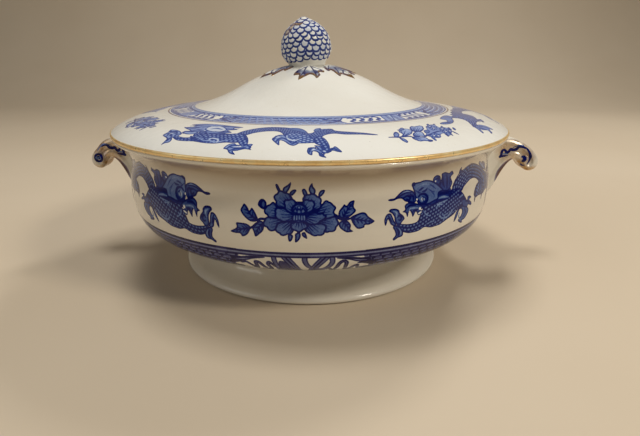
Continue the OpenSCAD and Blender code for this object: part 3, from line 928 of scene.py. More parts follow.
PEONY = """
blob 1.0 0.2: -8,62 -5,66 0,67 5,66 9,62.5 11,59 8,55 0,54 -7,55 -10,58;
leaf 4: -25.6,65.1 -23.8,63.3 -23.1,62.1 -22,63.5 -20.5,61.8 -19.4,59.8 -18.9,58 -20.6,57.1
  -23,57.4 -25.4,59.1 -27.4,61.8 -26.6,63.9: -19.1,57.8 -22.5,60.3 -25.3,64.2;
leaf 4: -32.8,51.6 -29.6,53.7 -29.7,56 -26.8,56.2 -24.1,55.8 -22.7,54.1 -24.3,50.8 -27,49.4
  -28,50.8 -30.5,50.8: -22.8,53.9 -26.7,53.2 -31.7,51.9;
leaf 3: -21.8,54.1 -20.1,56.7 -17.6,57.9 -16.1,56.4 -16.6,53.4 -18.5,51.3 -20.6,49.9 -21.3,52.2:
  -16.3,57 -18.8,54.4 -20.4,50.7;
line 0.38 1: -19.2,57.8 -17.7,58.7 -15.3,58.7: -22.9,54 -21.6,54.7 -19.9,56.3;
leaf 4: 17.8,62.6 19.3,64.3 20.2,65.4 21.3,64.7 22.8,66.4 25,66.8 24.6,64.1 25.6,62.3 23.9,60.5
  21.5,59.1 19.4,58.7 17.5,60.3: 19.2,58.9 21.4,62.5 24.5,66.2;
leaf 5: 23.2,59.6 26.3,60.9 28.7,61.4 30.3,60.8 31.5,59.2 33.1,58 34.4,56.7 32.1,55.4 29.8,55.3
  29.3,54.1 26.5,53.7 24.5,55.7 23.4,57.8: 23.3,59 28.2,57.7 33.6,56.7;
leaf 3: 17.6,57.2 19.2,58.1 21.5,58 23.2,55.9 23,53.9 24.3,52.7 21.6,52.3 19.3,53.6 17.8,55.2:
  19.2,58.5 20.9,56 23.5,52.9;
line 0.4 0.5 0.3 1: 16.2,60.7 17.8,59.3 20.1,58.5 23.4,59;
blob 0.46 0.6: -19.1,64.8 -18.3,67.1 -16.7,67.7 -15.2,66.4 -15.1,64.3 -16.6,63;
line 0.3 0.2 1: -17,67 -17.7,65.1 -16.8,63.6;
blob 0.42 0.5: -10.5,74.8 -9.6,75 -8.4,72.1 -8.2,70.7 -9.6,71.3 -10.4,73:
  -7.5,71.6 -7.1,73.3 -5.2,74.7 -3.5,76.2 -3.9,73.7 -5.2,71.4 -6.4,70.4:
  -4.5,70.5 -3.6,71.9 -2.2,72.6 -1.2,72.1 -2,70.7 -3.4,69.5:
  1.1,72.2 2.2,73 3.3,71.7 3.8,69.6 2.5,69.1 1.5,70.3:
  4.1,72.2 4.7,74.5 5.8,75.7 6.2,74 7.3,72.2 6.9,70.3 5.3,70:
  8.4,69.8 9.2,71.7 10.6,72.4 11.5,71.9 10.8,70.2 9.4,69:
  -5.4,51.5 -4.3,52.1 -3,51.1 -3.7,48.8 -4.9,48.2 -5.4,49.8:
  -2,52.3 0.1,52.9 0.4,50.6 -1,48.3 -2.2,48 -2.2,50.3:
  0.9,52.6 2.3,53.1 3.1,51.6 3.3,49.7 1.9,50.4 1,51.4;
petal 7 0.46: -0.1,60.7:
  -11.2,66.7 -11.5,68.9 -10.3,70.8 -8.4,71.7 -5.9,71.1 -4.1,70 -2.8,67.5 -4.1,64.3 -7.8,63.7
  -10.2,64.6:
  1.2,67.9 3,70.2 5.5,70.5 8.5,69.5 10,66.9 9.6,64.2 7.3,63 3.2,64.3;
petal 6 0.46: -0.1,60.7:
  -15.7,64.3 -13.5,65.3 -12.3,66.7 -10.6,65.5 -9.7,63.7 -7.8,62.4 -8.7,60.1 -12.5,59.1 -15.2,60.5
  -16,62.5;
petal 7 0.46: -0.1,60.7:
  9.6,65.2 11.7,67.3 13.8,66.8 15.1,65.2 16.8,64 15.4,62.2 16.4,60.5 13.7,58.7 9.5,59.3 7.3,61.6;
petal 6 0.46: -0.1,60.7:
  -16.2,58.6 -13.9,59.8 -9.2,59.6 -6.9,57.8 -9.8,53.9 -12.5,53.1 -15,54.3 -16.4,56;
petal 7 0.46: -0.1,60.7:
  9.1,58.4 13.7,60 16.5,59.9 17.4,57.4 16.4,54.1 13.3,52.6 10.7,53.2 8.4,56;
petal 6 0.46: -0.1,60.7:
  -11,55.8 -7.8,58 -3.7,57.9 -2.4,55.1 -3.3,52.5 -5.8,51.4 -8.9,51.4 -10.7,53.3;
petal 7 0.46: -0.1,60.7:
  1.8,56.1 5.4,57.1 10.9,57.1 11.9,53.7 10,51.5 7,51 3.8,52.4 2.2,53.9;
petal 6 0.46: -0.1,60.7:
  -4.4,56.7 -1.9,58.2 1.8,58.2 3.7,56.3 2.7,54.4 -0.9,53 -3.3,54.3:
  -11.5,61.9 -9.9,64 -6.9,64 -3.9,62.5 -1.4,59.8 -3.7,58 -7.4,57.7 -9.9,58.7:
  1.9,58.4 4.1,61.4 6.8,62.3 9.8,61.9 11.9,63.5 10.7,61.3 12.4,60.6 10.2,58.3 7.9,56.7 4.5,56.5:
  -7.2,65.1 -6.4,67.5 -4.1,68.1 -1.7,67.2 -0.8,65.2 -1.4,62.5 -3.2,61.1 -6,62.8:
  0.9,65.7 1.9,67.4 3.8,68 5.9,67.4 7,65.2 6,62.9 3.2,61.4 1.5,63;
blob 0.44 0.65: -3.9,63.2 -2.9,65.2 -0.4,66.4 2.5,65.3 3.7,63.2 2.5,61.4 -0.4,60.8 -2.8,61.6;
line 0.22 1: -2.7,63 -1.8,63.9 -1.1,63 -0.2,63.7 0.7,63 1.6,63.9 2.5,63;
disc 0.34 1: -1.8,64.1 1.4,64.1 -1.1,62.3 0.7,62.3;
disc 0.95 1: -0.2,64.2;
disc 0.5 0.35: -0.2,64.3;
blob 0.9 0.4: -3.4,60.5 -0.1,60.8 3.2,60.5 2.9,58.9 -0.1,58.5 -3.1,59;
line 0.22 0.35: -2.3,60.5 -2.4,58.9: -1.2,60.5 -1.3,58.9: -0.1,60.5 -0.1,58.9: 1,60.5 1,58.9:
  2.1,60.5 2.2,58.9;
blob 0.4 0.35: -2.3,58.2 -0.4,58.9 1.7,58.2 -0.4,57.5
"""

COVER_DRAGON = """
scaly 1 0.34 1.5 1.2: -18.3,15.3 -16.4,20.5 -10.6,25.5 -3.3,28.1 5.1,27.6 13.3,23.9 16.4,19.9
  18.9,20.5 21.7,24.9 28.7,25.7 30.5,22.8 37.5,20.6 43.7,18.9 49.2,16.3 48.9,15.5 41.5,17
  34.5,17.6 29.1,19 24.7,17.4 22.4,14 20.3,10 14.1,10 10.3,11 6.4,15.5 2.6,21 -2.9,21.8 -8.9,19.4
  -12.6,15.9 -15.5,12.5: -16.1,13.9 -9.2,22.3 -0.7,25 9.4,19 17.2,14.1 22.1,18.9 28.9,22.1
  48.5,16.1;
blob 0.6 0.4: 5.4,26 9.9,27.3 14,25 16.4,19.9 12,21.8: 19.3,22.8 20.6,26.1 23.4,26.7 21.5,22.4;
blob 0.38 0.45: 0.6,12.9 1.6,15.7 3,17.4 5.4,17.5 7.7,14 10.3,10.6 13.2,10.3 11.2,7.6 9,8.2
  6.5,10.9 4.4,11.8 4.8,7.7 2.7,9.8;
line 0.2 0.4 0.2 1: 3.9,14.7 6.8,13.3 9.8,9.4;
scaly 0.8 0.25 2 1.72: 5.8,17.1 8.5,20.4 13.6,19.4 17.8,15.6 19.7,10.6 14.1,9.4 9.7,10.6:
  7.1,15.6 13.2,14.9 19.1,11.3;
scaly 1 0.34 2 1.72: 20.2,15.6 23.5,14.8 25.3,9.9 25.4,4.9 23,3.5 22,7 19.4,10:
  21.1,14.1 23.6,4.4;
blob 0.36 0.42: 16.4,3.6 16.9,6 19,6.3 20.7,5.3 19.3,7.6 21.4,7.4 23.6,4.4 25.9,4.5 27.7,6.9
  29.5,4.4 30,2.8 28.1,3.2 26.4,3.9 24.6,2.4 22.3,2.4 23.7,0 21.7,0.8 20.4,3.1 18.7,3.6 18.4,1.4
  17,2;
line 0.2 0.4 0.2 1: 20.7,5 22.9,3.3 25.8,3.4;
scaly 1 0.34 2 1.72: -17.7,17 -13.9,17.1 -10.1,12.3 -8.7,7.3 -10.7,6.1 -14.2,9.9:
  -15.8,16.4 -10.1,7.2;
blob 0.36 0.42: -17.9,3.9 -17,7 -14.4,7.9 -12.6,5.9 -10.2,6.4 -8.1,8 -6.3,7.7 -6.9,5.3 -5.9,3.9
  -8.7,4.2 -11.4,3 -13.1,2.5 -11.5,0.7 -14.2,1.3 -16,3.3;
line 0.2 0.4 0.2 1: -15.5,5.1 -12,4.6 -8.6,5.5;
scaly 1 0.34 2 1.72: -51.3,9.8 -47.3,9.9 -42,9.4 -38.7,10.7 -39.9,13.9 -36.5,16.3 -28.6,16.4
  -22.1,16.5 -16.4,17.5 -12.5,14.3 -11.6,10.1 -14.9,8.3 -19,8.2 -23.9,6.8 -29,6.6 -34.8,7.1
  -39.4,6.6 -44.9,6.7: -48.5,8.2 -38.3,8.3 -30.7,11.3 -21,11.9 -12.7,12.8;
line 0.2 0.5 0.2 0.3: -29.1,10.8 -26.4,8.5 -22.7,8.4 -18.8,10.5;
line 0.15 0.3 0.1 0.3: -35.7,11.2 -30.4,8.6 -25.1,8.7;
blob 0.36 0.42: -49.5,2 -49.9,4.2 -51.1,6.8 -56.4,8.7 -56.7,11.8 -57.9,14.7 -52.2,14.9 -47,12.5
  -46.9,9.5 -48.6,8.2 -47.1,6.3 -46.8,4.4 -48.5,3.4;
line 0.2 0.4 0.2 1: -54.2,9.9 -52.8,11.8 -49.4,11.7: -49,5 -49.3,6.7 -49.7,8;
line 0.15 0.5 0.5 0.2 1: -57.6,14.2 -55.4,12.6 -52.6,13.6 -50.2,12.4;
line 0.15 0.45 0.5 0.2 1: -56.4,9.2 -54.6,10.9 -51.8,9.9 -49.8,8.6;
line 0.2 0.45 0.2 1: -47.4,12.2 -49.0,10.8 -48.4,9.4;
line 0.2 0.5 0.2 1: -34.6,15.6 -31.2,17.0 -27.6,16.2: -42.6,20.4 -40.0,22.0 -39.4,24.6;
blob 0.42 0.45: -46.8,12.6 -48.1,15.1 -45.4,16.4 -52.7,18.8 -48.6,21.1 -48.2,23.6 -52.9,23.5
  -46.2,26.8 -38.1,27.7 -31.6,27.4 -19.3,25.9 -23.4,23.8 -20.5,22.1 -24.5,20.2 -21.4,18
  -26.6,15.9 -34.7,15.2 -40.5,15.6 -42.3,13.5;
line 0.15 0.42 0.15 1: -50.5,18.5 -45.6,20.5 -42.1,23.1: -49.1,22 -45.6,24.3 -41.6,25.8:
  -44.9,15 -42.5,17.6 -40,19.1: -33.5,24.9 -28.2,25.4 -21.5,25.1:
  -29.8,21.5 -25.8,22.1 -22.6,22.6: -28.2,18.1 -25.1,18.6 -22.6,18.6;
blob 0.14 0.45: -38.4,19.4 -39.1,23.3 -36.4,25.9 -30.3,24.6 -25.8,20.9 -27.9,17.8 -32.8,17.3;
line 0.2 0.45 0.2 1: -38.9,15.9 -37.3,17.3 -34.4,16;
disc 0.55 0.05: -37.2,17.7;
disc 0.5 1: -35.3,17.7;
blob 0.3 0.4: -47.3,13.5 -45.5,15.6 -39.7,15.7 -39.6,13.7 -43.1,12.4;
line 0.25 0.42 0.2 0.95: 1.6,12.3 2.1,16 4.4,16.1: 2.9,10.4 3.8,13.4 6.1,13.9:
  10.2,8.8 11.5,10.7 12.2,13.3: 17.3,3.1 17.9,5.6 19.9,6.1: 21.2,2.8 21.6,1.2 23.2,0.3:
  22.4,5.1 23.1,2.8 22.5,1.2: 24.9,4.1 26.8,5.4 29.1,3.5: -16.4,3.9 -15,6.3 -11.3,6.6:
  -14.7,2.9 -12.7,4 -9.3,4.7: -8.5,6.9 -7,5.9 -6.8,4.4: -53.2,8.5 -53.6,11.4 -51.9,13.4:
  -49.5,3.8 -49.8,6.6 -48.8,7.4;
line 0.15 0.35 0.15 0.12: 2.1,14.5 3.1,15.1 4.3,14.9: -14.1,5.1 -12.3,5.6 -10.2,5.6:
  18.5,4.2 19,4.8 19.6,4.9: 22.6,3.7 23.2,3.6 23.7,3: -53.4,9.9 -53.1,11.3 -51.8,12.1;
line 0.15 0.40 0.15 0.95: -51.5,21.4 -48,23.7 -44.2,25.1: -53.2,19.2 -47,19.2 -43.4,20.6:
  -41.8,21 -39.9,24.1 -34.5,24.8: -32,26.3 -25.7,25.4 -20.4,25.3:
  -26.9,22.1 -22.8,22.3 -20.2,23.5: -48.2,13.8 -45.6,15.1 -41.8,15.2:
  -35.5,20.5 -33,21.9 -28.7,21: -41.5,17.8 -37.1,17.1 -34.3,18: -30.7,17.9 -26.2,17.5 -23.4,19.4;
line 0.3 0.5 0.4 0.2 0.95: -39.7,11.1 -37.1,9.3 -33.1,8.2 -28.1,7.7;
line 0.2 0.45 0.4 0.2 0.14: 6.7,16.2 8.2,13 10.8,11.9 12.9,13.3;
line 0.2 0.35 0.2 0.95: 7.6,14.7 9.7,13.6 11.5,14.7;
line 0.2 0.4 0.4 0.2 0.14: -28.2,8.9 -27.3,11 -23.8,10.1 -23.1,7.7
"""

SPRAY = """
blob 0.42 0.2: -5.7,11.8 -1.9,15 2.9,20.1 7.7,22.1 11.2,21.5 9.9,17.5 13.6,16.5 14.6,14.2
  11.1,10.9 7.9,9 5.2,8.6 5.6,11.1 2.6,10.6 0.1,8.2 -2.7,8.3 -4.8,9.4;
line 0.3 0.5 0.5 0.5 1: -25.7,12.5 -23.2,12.4 -20.8,12 -16.9,12.2 -14.5,11.8;
line 0.4 0.5 1: -20.7,11.8 -20.7,10.1 -20.5,8.7;
blob 0.55 0.4: -20.6,10.8 -19.4,10.7 -18.8,9.4 -18.8,7.8 -19.7,6.8 -20.4,7.3 -20.9,8.9;
blob 0.45 0.45: -22,15.2 -20.3,17 -18.9,17.7 -18.7,16.3 -19.2,14.2 -21.1,12.4 -22.7,12.8;
line 0.4 0.6 0.4 0.95: -20.8,16.2 -19.3,17 -19.1,15.9;
blob 0.55 0.45: -16.7,20 -15.7,20.1 -13.3,21.9 -11.9,22.1 -12,20.5 -14.4,18.5 -16.5,18.2;
petal 7 0.34: -18.9,12.1: -17.6,17.5 -15.5,18.7 -12.6,20.3 -10.9,20.3 -9.4,19.4 -9.5,17.6
  -11.4,15 -14.2,13.4 -16.7,12.6 -19.2,12.5 -17.4,14.4 -17.4,16.1;
petal 7 0.4: -13.2,11.9: -7.5,21.6 -4.3,23.1 -3.3,22.3 -1.4,22.4 1,22.8 0.8,20.2 -1.9,17.5
  -5.3,15.6 -7.3,16.3 -9.5,15.9 -9.2,17.5 -9.1,19.3;
petal 6 0.3: -14,11.3: -13,12.2 -11.2,14.6 -8.3,15.9 -5.6,15.3 -6.3,12.4 -6.3,10.8 -7.8,10.1
  -9.5,10.9 -11.7,11;
petal 7 0.32: -14.4,11.5: -14.6,11.1 -11.9,11.4 -9.8,10.5 -7.8,9.3 -7.5,8 -6.2,7 -7.4,6
  -9.1,6.4 -10.7,7.1 -12.8,6.9 -13.7,7.5 -14.8,9.1;
blob 0.95 0.3: -8,7.4 -6.4,7 -7.3,5.9 -8.9,6.2;
blob 0.62 0.4: -3,16.4 -0.2,16.7 -0.1,15.2 -2.2,13.4 -4.3,13.3 -4.3,14.4;
line 0.5 0.45 0.4 0.3 1: -7,11 -3.2,11.7 2.6,13.4 6.5,13.6 8.8,12.5;
blob 0.42 0.3: 3.2,19.4 5.1,20.1 4.8,19 3,18.3: 3.5,20.7 5.5,21.4 5.1,20.2 3.2,19.5:
  5.7,21.8 7.8,22.6 7.4,21.4 5.3,20.6: 6.7,21.2 8.8,21.9 8.4,20.7 6.4,20:
  5.1,19.7 7.1,20.4 6.8,19.3 4.9,18.6;
disc 0.55 0.06: 5.7,20.3;
blob 0.42 0.3: 2.6,16.4 4.9,17.3 4.6,15.9 2.4,15.1: 2.9,18 5.4,18.9 5,17.5 2.6,16.6:
  5.6,19.4 8.3,20.4 7.7,18.8 5.2,17.9: 6.9,18.6 9.5,19.6 9,18.1 6.5,17.2:
  5,16.8 7.4,17.7 7,16.3 4.7,15.5;
disc 0.55 0.06: 5.6,17.6;
blob 0.42 0.3: -4.4,9.4 -2.4,10.2 -2.3,9 -4.2,8.3: -4.6,10.7 -2.5,11.5 -2.4,10.3 -4.4,9.6:
  -2.4,12 -0.3,12.8 -0.3,11.5 -2.4,10.7: -1,11.3 1.1,12.1 1.2,10.9 -0.9,10.1:
  -2.3,9.8 -0.2,10.5 -0.1,9.4 -2.1,8.7;
disc 0.55 0.06: -1.9,10.4;
blob 0.42 0.3: -1.7,8.9 -0.2,9.5 -0.3,8.6 -1.8,8: -1.6,9.9 -0.1,10.6 -0.2,9.6 -1.7,9:
  0,10.9 1.6,11.6 1.4,10.6 -0.1,9.9: 0.9,10.5 2.5,11.1 2.3,10.2 0.8,9.5:
  -0.2,9.2 1.3,9.9 1.2,8.9 -0.3,8.3;
disc 0.55 0.06: 0.2,9.7;
blob 0.42 0.3: 7,14.6 9.1,15.3 8.7,14.1 6.7,13.4: 7.4,15.9 9.6,16.6 9.1,15.4 7,14.7:
  9.8,17 12.1,17.8 11.6,16.6 9.4,15.8: 10.9,16.4 13.2,17.2 12.6,15.9 10.4,15.2:
  9.1,14.9 11.2,15.6 10.8,14.4 8.7,13.7;
disc 0.55 0.06: 9.7,15.5;
blob 0.42 0.3: 6,11.6 8.2,12.3 7.9,11.1 5.8,10.4: 6.3,12.9 8.6,13.8 8.2,12.5 6,11.7:
  8.8,14.2 11.3,15.1 10.9,13.7 8.4,12.9: 10,13.5 12.6,14.4 12.1,13 9.7,12.3:
  8.2,11.9 10.5,12.7 10.2,11.4 7.9,10.7;
disc 0.55 0.06: 8.8,12.6;
blob 0.42 0.3: 9.4,11.3 11.3,12.2 10.5,11.1 8.7,10.2: 10.2,12.6 12.2,13.5 11.4,12.3 9.4,11.4:
  12.6,13.9 14.8,14.8 13.8,13.6 11.7,12.7: 13.1,13.4 15.3,14.3 14.3,13.1 12.3,12.2:
  11.1,11.8 13.1,12.7 12.3,11.5 10.4,10.7;
disc 0.55 0.06: 11.8,12.4;
blob 0.85 0.3: 6.6,23.1 8.7,23.8 8.2,22.6 6.3,22: 10.5,22 12.6,22.6 12.1,21.5 10.1,20.9:
  11.8,18.1 13.7,18.7 13.4,17.7 11.5,17.2: 2.4,20.2 4.2,20.9 3.9,19.9 2.2,19.2;
line 0.3 0.55 0.3 1: 13.1,12 12.9,10.5 13.2,8.5;
blob 0.75 0.4: 17.7,15.1 18.9,14.9 17.5,12.8 15.9,12.1 16,13.4:
  14.6,15.9 16.2,15.8 15,14.3 13.1,14.1;
line 0.7 0.4 1: 5.8,10 5.4,8.4;
line 0.6 0.3 1: 8.9,9.8 8.5,8.3;
line 0.8 0.6 0.7: -4.3,8.6 -4.5,6.8
"""

SIDE_DRAGON = """
blob 0.5 0.35: 79,23.2 84.4,24 76.3,21.9 71.2,17.1 62.2,16.2 57.3,21.4 42.9,28.3 49.2,29.6
  58.9,26.2 64.9,26.6;
scaly 1 0.34 1.5 1.3: 6.8,29.6 12.4,29.2 18.1,31.1 25.3,30.6 32.5,31.8 47.2,27.9 67.9,18.2
  68.5,15.2 64,12.3 43.2,22.3 32.7,25.1 23.2,24.4 22.7,21.4 20.8,18.3 13.6,15.4 17.5,13.9
  10.4,11.1 10,14.1 7,12.5 6.5,14 0.1,13.3 -2.4,11.7 1.3,10.5 -10,10.9 -7.6,13.6 -3.3,16.8
  -0.7,19.8 -0.9,22.7 -3.7,24.8 -5,27 5.1,27.5: 19.6,30.2 21.8,26.6 11.1,21.6 5.6,16.9 -4.3,12.7;
blob 0.5 0.45: -13.8,28.7 -4.4,30.5 1,29.5 -0.2,25.8 -6.6,24.4 -12.8,21.2 -19.3,19.4 -25.8,19.7
  -27.9,21.5 -23.5,22.8 -17.9,22.7 -15.6,24.9 -16.5,26.8;
line 0.2 0.5 0.2 1: -8.9,28.7 -4.3,27.6 -5.3,25.5: -25,21.3 -20.5,21 -15.3,21.4;
blob 0.45 0.45: -8.9,11.4 -1.9,11.8 1.3,10.5 3,8 2.4,4.7 -0.8,5.9 -4.1,3.4 -6.2,3.4 -4.3,5.7
  -8.2,7.2 -8.8,8.3 -11.6,5.4 -13.1,5.3 -11.2,8.6;
line 0.2 0.5 0.2 1: -5.9,10.9 -1.9,9.3 0.4,6.7: -9,10.2 -5.8,8.4 -4.1,6.1;
line 1.9 1.9 1.6 1.0 0.5 0.15 0.8: 65.3,17.8 59.7,13.9 49.8,9.6 36.4,8 32.6,5.2 30,3.7;
line 0.4 0.5 0.4 0.1 0.35: 63.7,17 59.5,12.6 44.7,9.9 36.4,8
"""


def strap(canvas, path, width):
    """a pale strap with dark edges; wide ones carry a dark middle line"""
    path = points(path)
    canvas.stroke(path, width, 1.0)
    canvas.stroke(path, width - 0.45, 0.42)
    if width > 1.5:
        canvas.stroke(path, 0.36, 1.0)


BOWL_BAND_R = 107
# the lobed ends of the dark ground, drawn for the +x side
BAND_LOBES = """
line 0.3 0.9 1.4 1.2 0.5 0.95: 17,38.9 23,38.2 28,36.8 31.5,36.8 34,34.8:
  27.5,34.6 31,34.9 34.8,33.4 35.6,30.5: 30,30.5 33,29.8 36,28.2;
line 0.12 0.42 0.15 0.30: 24.5,37.4 27.5,36.7 31.5,36.2
"""
BAND_TENDRILS = (
    """10.4,29.9 13.5,31.3 15.7,28.9 17.2,31.5 18.2,35.0 19.9,36.7 21.6,35.6 21.8,32.0 22.4,28.3
    24.2,28.5 25.4,31.4 27.4,32.8 28.5,30.3 31.5,29.6""",
    """-10.5,29.5 -12.9,33.0 -14.9,35.8 -15.9,34.0 -15.2,30.6 -17.3,29.0 -18.7,32.0 -20.0,35.0
    -21.7,35.3 -22.2,32.3 -23.3,29.6 -25.0,32.6 -27.0,34.7 -29.5,34.0""")


def bowl_band_canvas():
    """half a turn: x is arc length from the middle of a panel, y is height"""
    half_turn = PI * BOWL_BAND_R / 2
    canvas = Canvas(-half_turn, half_turn, 25.8, 42.6, 0.30, columns=1100)
    X, Y = canvas.X, canvas.Y
    # broken dashes stepping across a dark ground, outside the panel
    row = np.floor((Y - 26.4) / 2.35)
    v = (Y - 26.4) / 2.35 - row - 0.5
    pitch = 336.15 / 2 / 32
    u = (X + row * pitch * 0.37) / pitch
    u = u - np.floor(u) - 0.5
    ground = np.full(X.shape, 0.86)
    ground = np.where((np.abs(u) < 0.36) & (np.abs(v + 0.30) < 0.13), 0.30, ground)
    ground = np.where((np.abs(u) < 0.26) & (np.abs(v - 0.02) < 0.11), 0.42, ground)
    ground = np.where((np.abs(u - 0.36) < 0.05) & (v > -0.42) & (v < 0.25), 0.36, ground)
    blot = np.hypot((u + 0.46 - np.round(u + 0.46)) * pitch * 0.8, (v - 0.1) * 2.35) < 0.80
    ground = np.where(blot, 1.0, ground)
    beyond_panel = np.abs(X) - 31.5 - 2.5 * np.cos((Y - 33) * 0.42)
    canvas.tone = canvas.coverage(-beyond_panel) * ground
    for side in (-1, 1):
        canvas.paint(BAND_LOBES, lambda path: path * [side, 1])
    for path in BAND_TENDRILS:                      # hollow down the middle
        canvas.stroke(points(path), [0.6, 0.95, 0.95, 0.95, 0.7], 1.0)
        canvas.stroke(points(path), [0.1, 0.30, 0.30, 0.30, 0.1], 0.50)
    for side in (-1, 1):
        canvas.paint("line 0.4 0.6 0.5 0.6 0.5 0.95: 11,27.3 15,27.5 20,27.4 25,27.6 30,28.2",
                     lambda path: path * [side, 1])
    # interlaced straps in the middle
    canvas.paint("blob 0.66 0.3: -10.2,36.6 -6.2,36.0 -4.2,33 -2.6,29 -6,27.6 -10.5,28")
    strap(canvas, "-12.4,39.4 -12.2,36.5 -11.5,32.4 -10.8,26.4", 1.2)
    strap(canvas, """1.9,39.4 2.0,37.1 3.1,34.1 5.4,31.5 8.6,30.1 11.4,30.8 13.6,33.3 14.8,36.4
          14.4,39.4""", 1.25)
    strap(canvas, "-7.0,39.6 -4.2,35.0 -2.4,31.0 -0.6,26", 1.85)
    strap(canvas, "11.4,39.6 8.0,34.9 5.8,30.6 4.0,26", 1.85)
    # the lines that close the band, paler in places
    uneven = 1 - 0.18 * (np.sin(X * 0.21) * np.sin(X * 0.057 + 1) > 0.75)
    for y0, y1, tone in ((39.3, 42.4, 1.0), (40.2, 41.25, 0.28), (25.6, 26.7, 0.95)):
        canvas.stripe(y0, y1, tone * uneven)
    return canvas


COVER_BAND_R = 78
COVER_BAND_HALF = 61.261                            # half of one of four repeats


def cover_band_canvas():
    """a quarter turn: x is arc length from the middle of a panel, y runs inwards"""
    canvas = Canvas(-COVER_BAND_HALF, COVER_BAND_HALF, 0.0, 15.9, 0.30, columns=400)
    X, Y = canvas.X, canvas.Y
    # key-fret bricks on a pale ground, stepping sideways from row to row
    row = np.floor((Y - 1.9) / 2.95)
    v = (Y - 1.9) / 2.95 - row - 0.5
    pitch = 2 * COVER_BAND_HALF / 30
    u = (X + row * pitch * 0.30) / pitch
    u = u - np.floor(u) - 0.5
    ground = np.full(X.shape, 0.36)
    ground = np.where((np.abs(u) < 0.33) & (np.abs(v - 0.16) < 0.17), 0.92, ground)
    ground = np.where((np.abs(u + 0.27) < 0.07) & (v > -0.36) & (v < 0.2), 0.80, ground)
    ground = np.where((np.abs(u) < 0.40) & (np.abs(v + 0.18) < 0.10), 0.10, ground)
    canvas.tone = ground
    # a long panel reserved in white, with blue scrolls and a strap across the middle
    d = np.maximum(np.abs(X) - 30.5 + 0.55 * np.abs(Y - 8), np.abs(Y - 8) - 5.3)
    canvas.lay(canvas.coverage(d), 0.85)
    canvas.lay(canvas.coverage(d + 0.7), 0.0)
    for side in (-1, 1):
        for k in range(4):
            canvas.paint("""
line 0.45 0.85 1.05 0.95 0.8 0.55 0.3 0.80: -1.9,4.2 0.7,4.4 1.5,6.6 -0.2,8.4 -0.9,10.4 0.9,12.0
  2.6,11.4;
line 0.1 0.28 0.1 0.22: 0.4,5.2 0.6,6.6 -0.6,8.4
""", lambda path: path * [side, 1] + [side * (8.6 + k * 4.7), 0])
        canvas.paint("""line 0.9 0.8 0.65 0.4 0.85: 30,8 33.5,6.2 37,4.6 40,2.6:
                        30,8 33.5,9.8 37,11.4 40,13.2""", lambda path: path * [side, 1])
    for x, fill in ((-4.2, 0.30), (4.2, 0.30), (0.0, 0.16)):
        canvas.blob([(x - 3.4, 2.7), (x + 0.4, 2.7), (x + 3.6, 13.3), (x - 0.2, 13.3)],
                    fill, 0.55, tone=0.74, smooth=False)
    canvas.paint("line 0.3 0.70: -3.0,2.7 0.2,8 3.0,13.3")
    for y0, y1, tone, gold in ((-1, 1.75, 0.0, 0), (0.1, 0.85, 0.62, 0.85), (1.65, 2.25, 0.74, 0),
                               (13.6, 14.15, 0.70, 0), (14.15, 14.7, 0.0, 0),
                               (14.65, 15.1, 0.62, 0), (15.1, 15.45, 0.0, 0),
                               (15.4, 15.8, 0.55, 0)):
        canvas.stripe(y0, y1, tone, gold)
    return canvas


# ------------------------------------------------------------------ turned pieces
def make_bowl():
    seat_r = RIM_R - 10.4                           # inside the flat rim
    inner = offset(wall_outside[(wall_outside[:, 1] < WAIST_Z + 7.5)
                                & (wall_outside[:, 0] > 63)], WALL)
    inner = inner[inner[:, 1] > BASE_Z + WALL + 0.5]
    lip = fillet([RIM_R - 0.9, RIM_Z - 1.6], [RIM_R + 0.15, RIM_Z - 0.6],
                 [RIM_R - 0.75, RIM_Z], 8)[1:]
    profile = np.vstack([
        [[0, BASE_Z], [30, BASE_Z], [56, BASE_Z]], wall_outside, lip,
        [[RIM_R - 3, RIM_Z], [seat_r + 1.4, RIM_Z]],
        fillet([seat_r + 1.2, RIM_Z], [seat_r, RIM_Z - 0.05], [seat_r + 0.05, RIM_Z - 1.4], 6),
        bezier([seat_r + 0.1, RIM_Z - 3.5], [seat_r - 0.8, RIM_Z - 6.0],
               [inner[-1, 0], inner[-1, 1] + 3.5], inner[-1], 8),
        inner[::-1][1:],
        bezier(inner[0], [inner[0, 0] - 3, BASE_Z + WALL + 0.15], [58, BASE_Z + WALL],
               [52, BASE_Z + WALL], 6),
        [[30, BASE_Z + WALL - 0.05], [0, BASE_Z + WALL - 0.1]]])
    build("bowl_body", *lathe(profile), GLAZE_BOWL, "tureen", "glaze", stands="bowl")


def make_foot():
    neck = FOOT_R - 15.7
    profile = np.vstack([
        bezier([FOOT_R - 3.8, 0], [FOOT_R - 1.0, 0.05], [FOOT_R + 0.05, 0.9], [FOOT_R, 2.4],
               8, True),
        bezier([FOOT_R, 2.4], [FOOT_R - 0.1, 3.9], [FOOT_R - 2.0, 4.5], [FOOT_R - 4.2, 5.1], 8),
        bezier([FOOT_R - 4.2, 5.1], [FOOT_R - 10.6, 6.1], [neck + 1.4, 8], [neck, BASE_Z + 2.3],
               26),
        [[neck - 1.0, BASE_Z + 1.7], [63.6, BASE_Z + 0.7]],
        bezier([63.2, BASE_Z], [63.1, BASE_Z - 1.5], [63.0, 13.5], [63.4, 12.2], 4, True),
        bezier([63.4, 12.2], [64.8, 8.2], [70, 5.2], [FOOT_R - 7.4, 2.4], 14),
        bezier([FOOT_R - 7.4, 2.4], [FOOT_R - 5.8, 1.3], [FOOT_R - 5.2, 0.25], [FOOT_R - 4.6, 0],
               5)])
    build("foot_ring_body", *lathe(profile, ring=True), GLAZE_FOOT, "tureen", "glaze",
          stands="foot_ring")


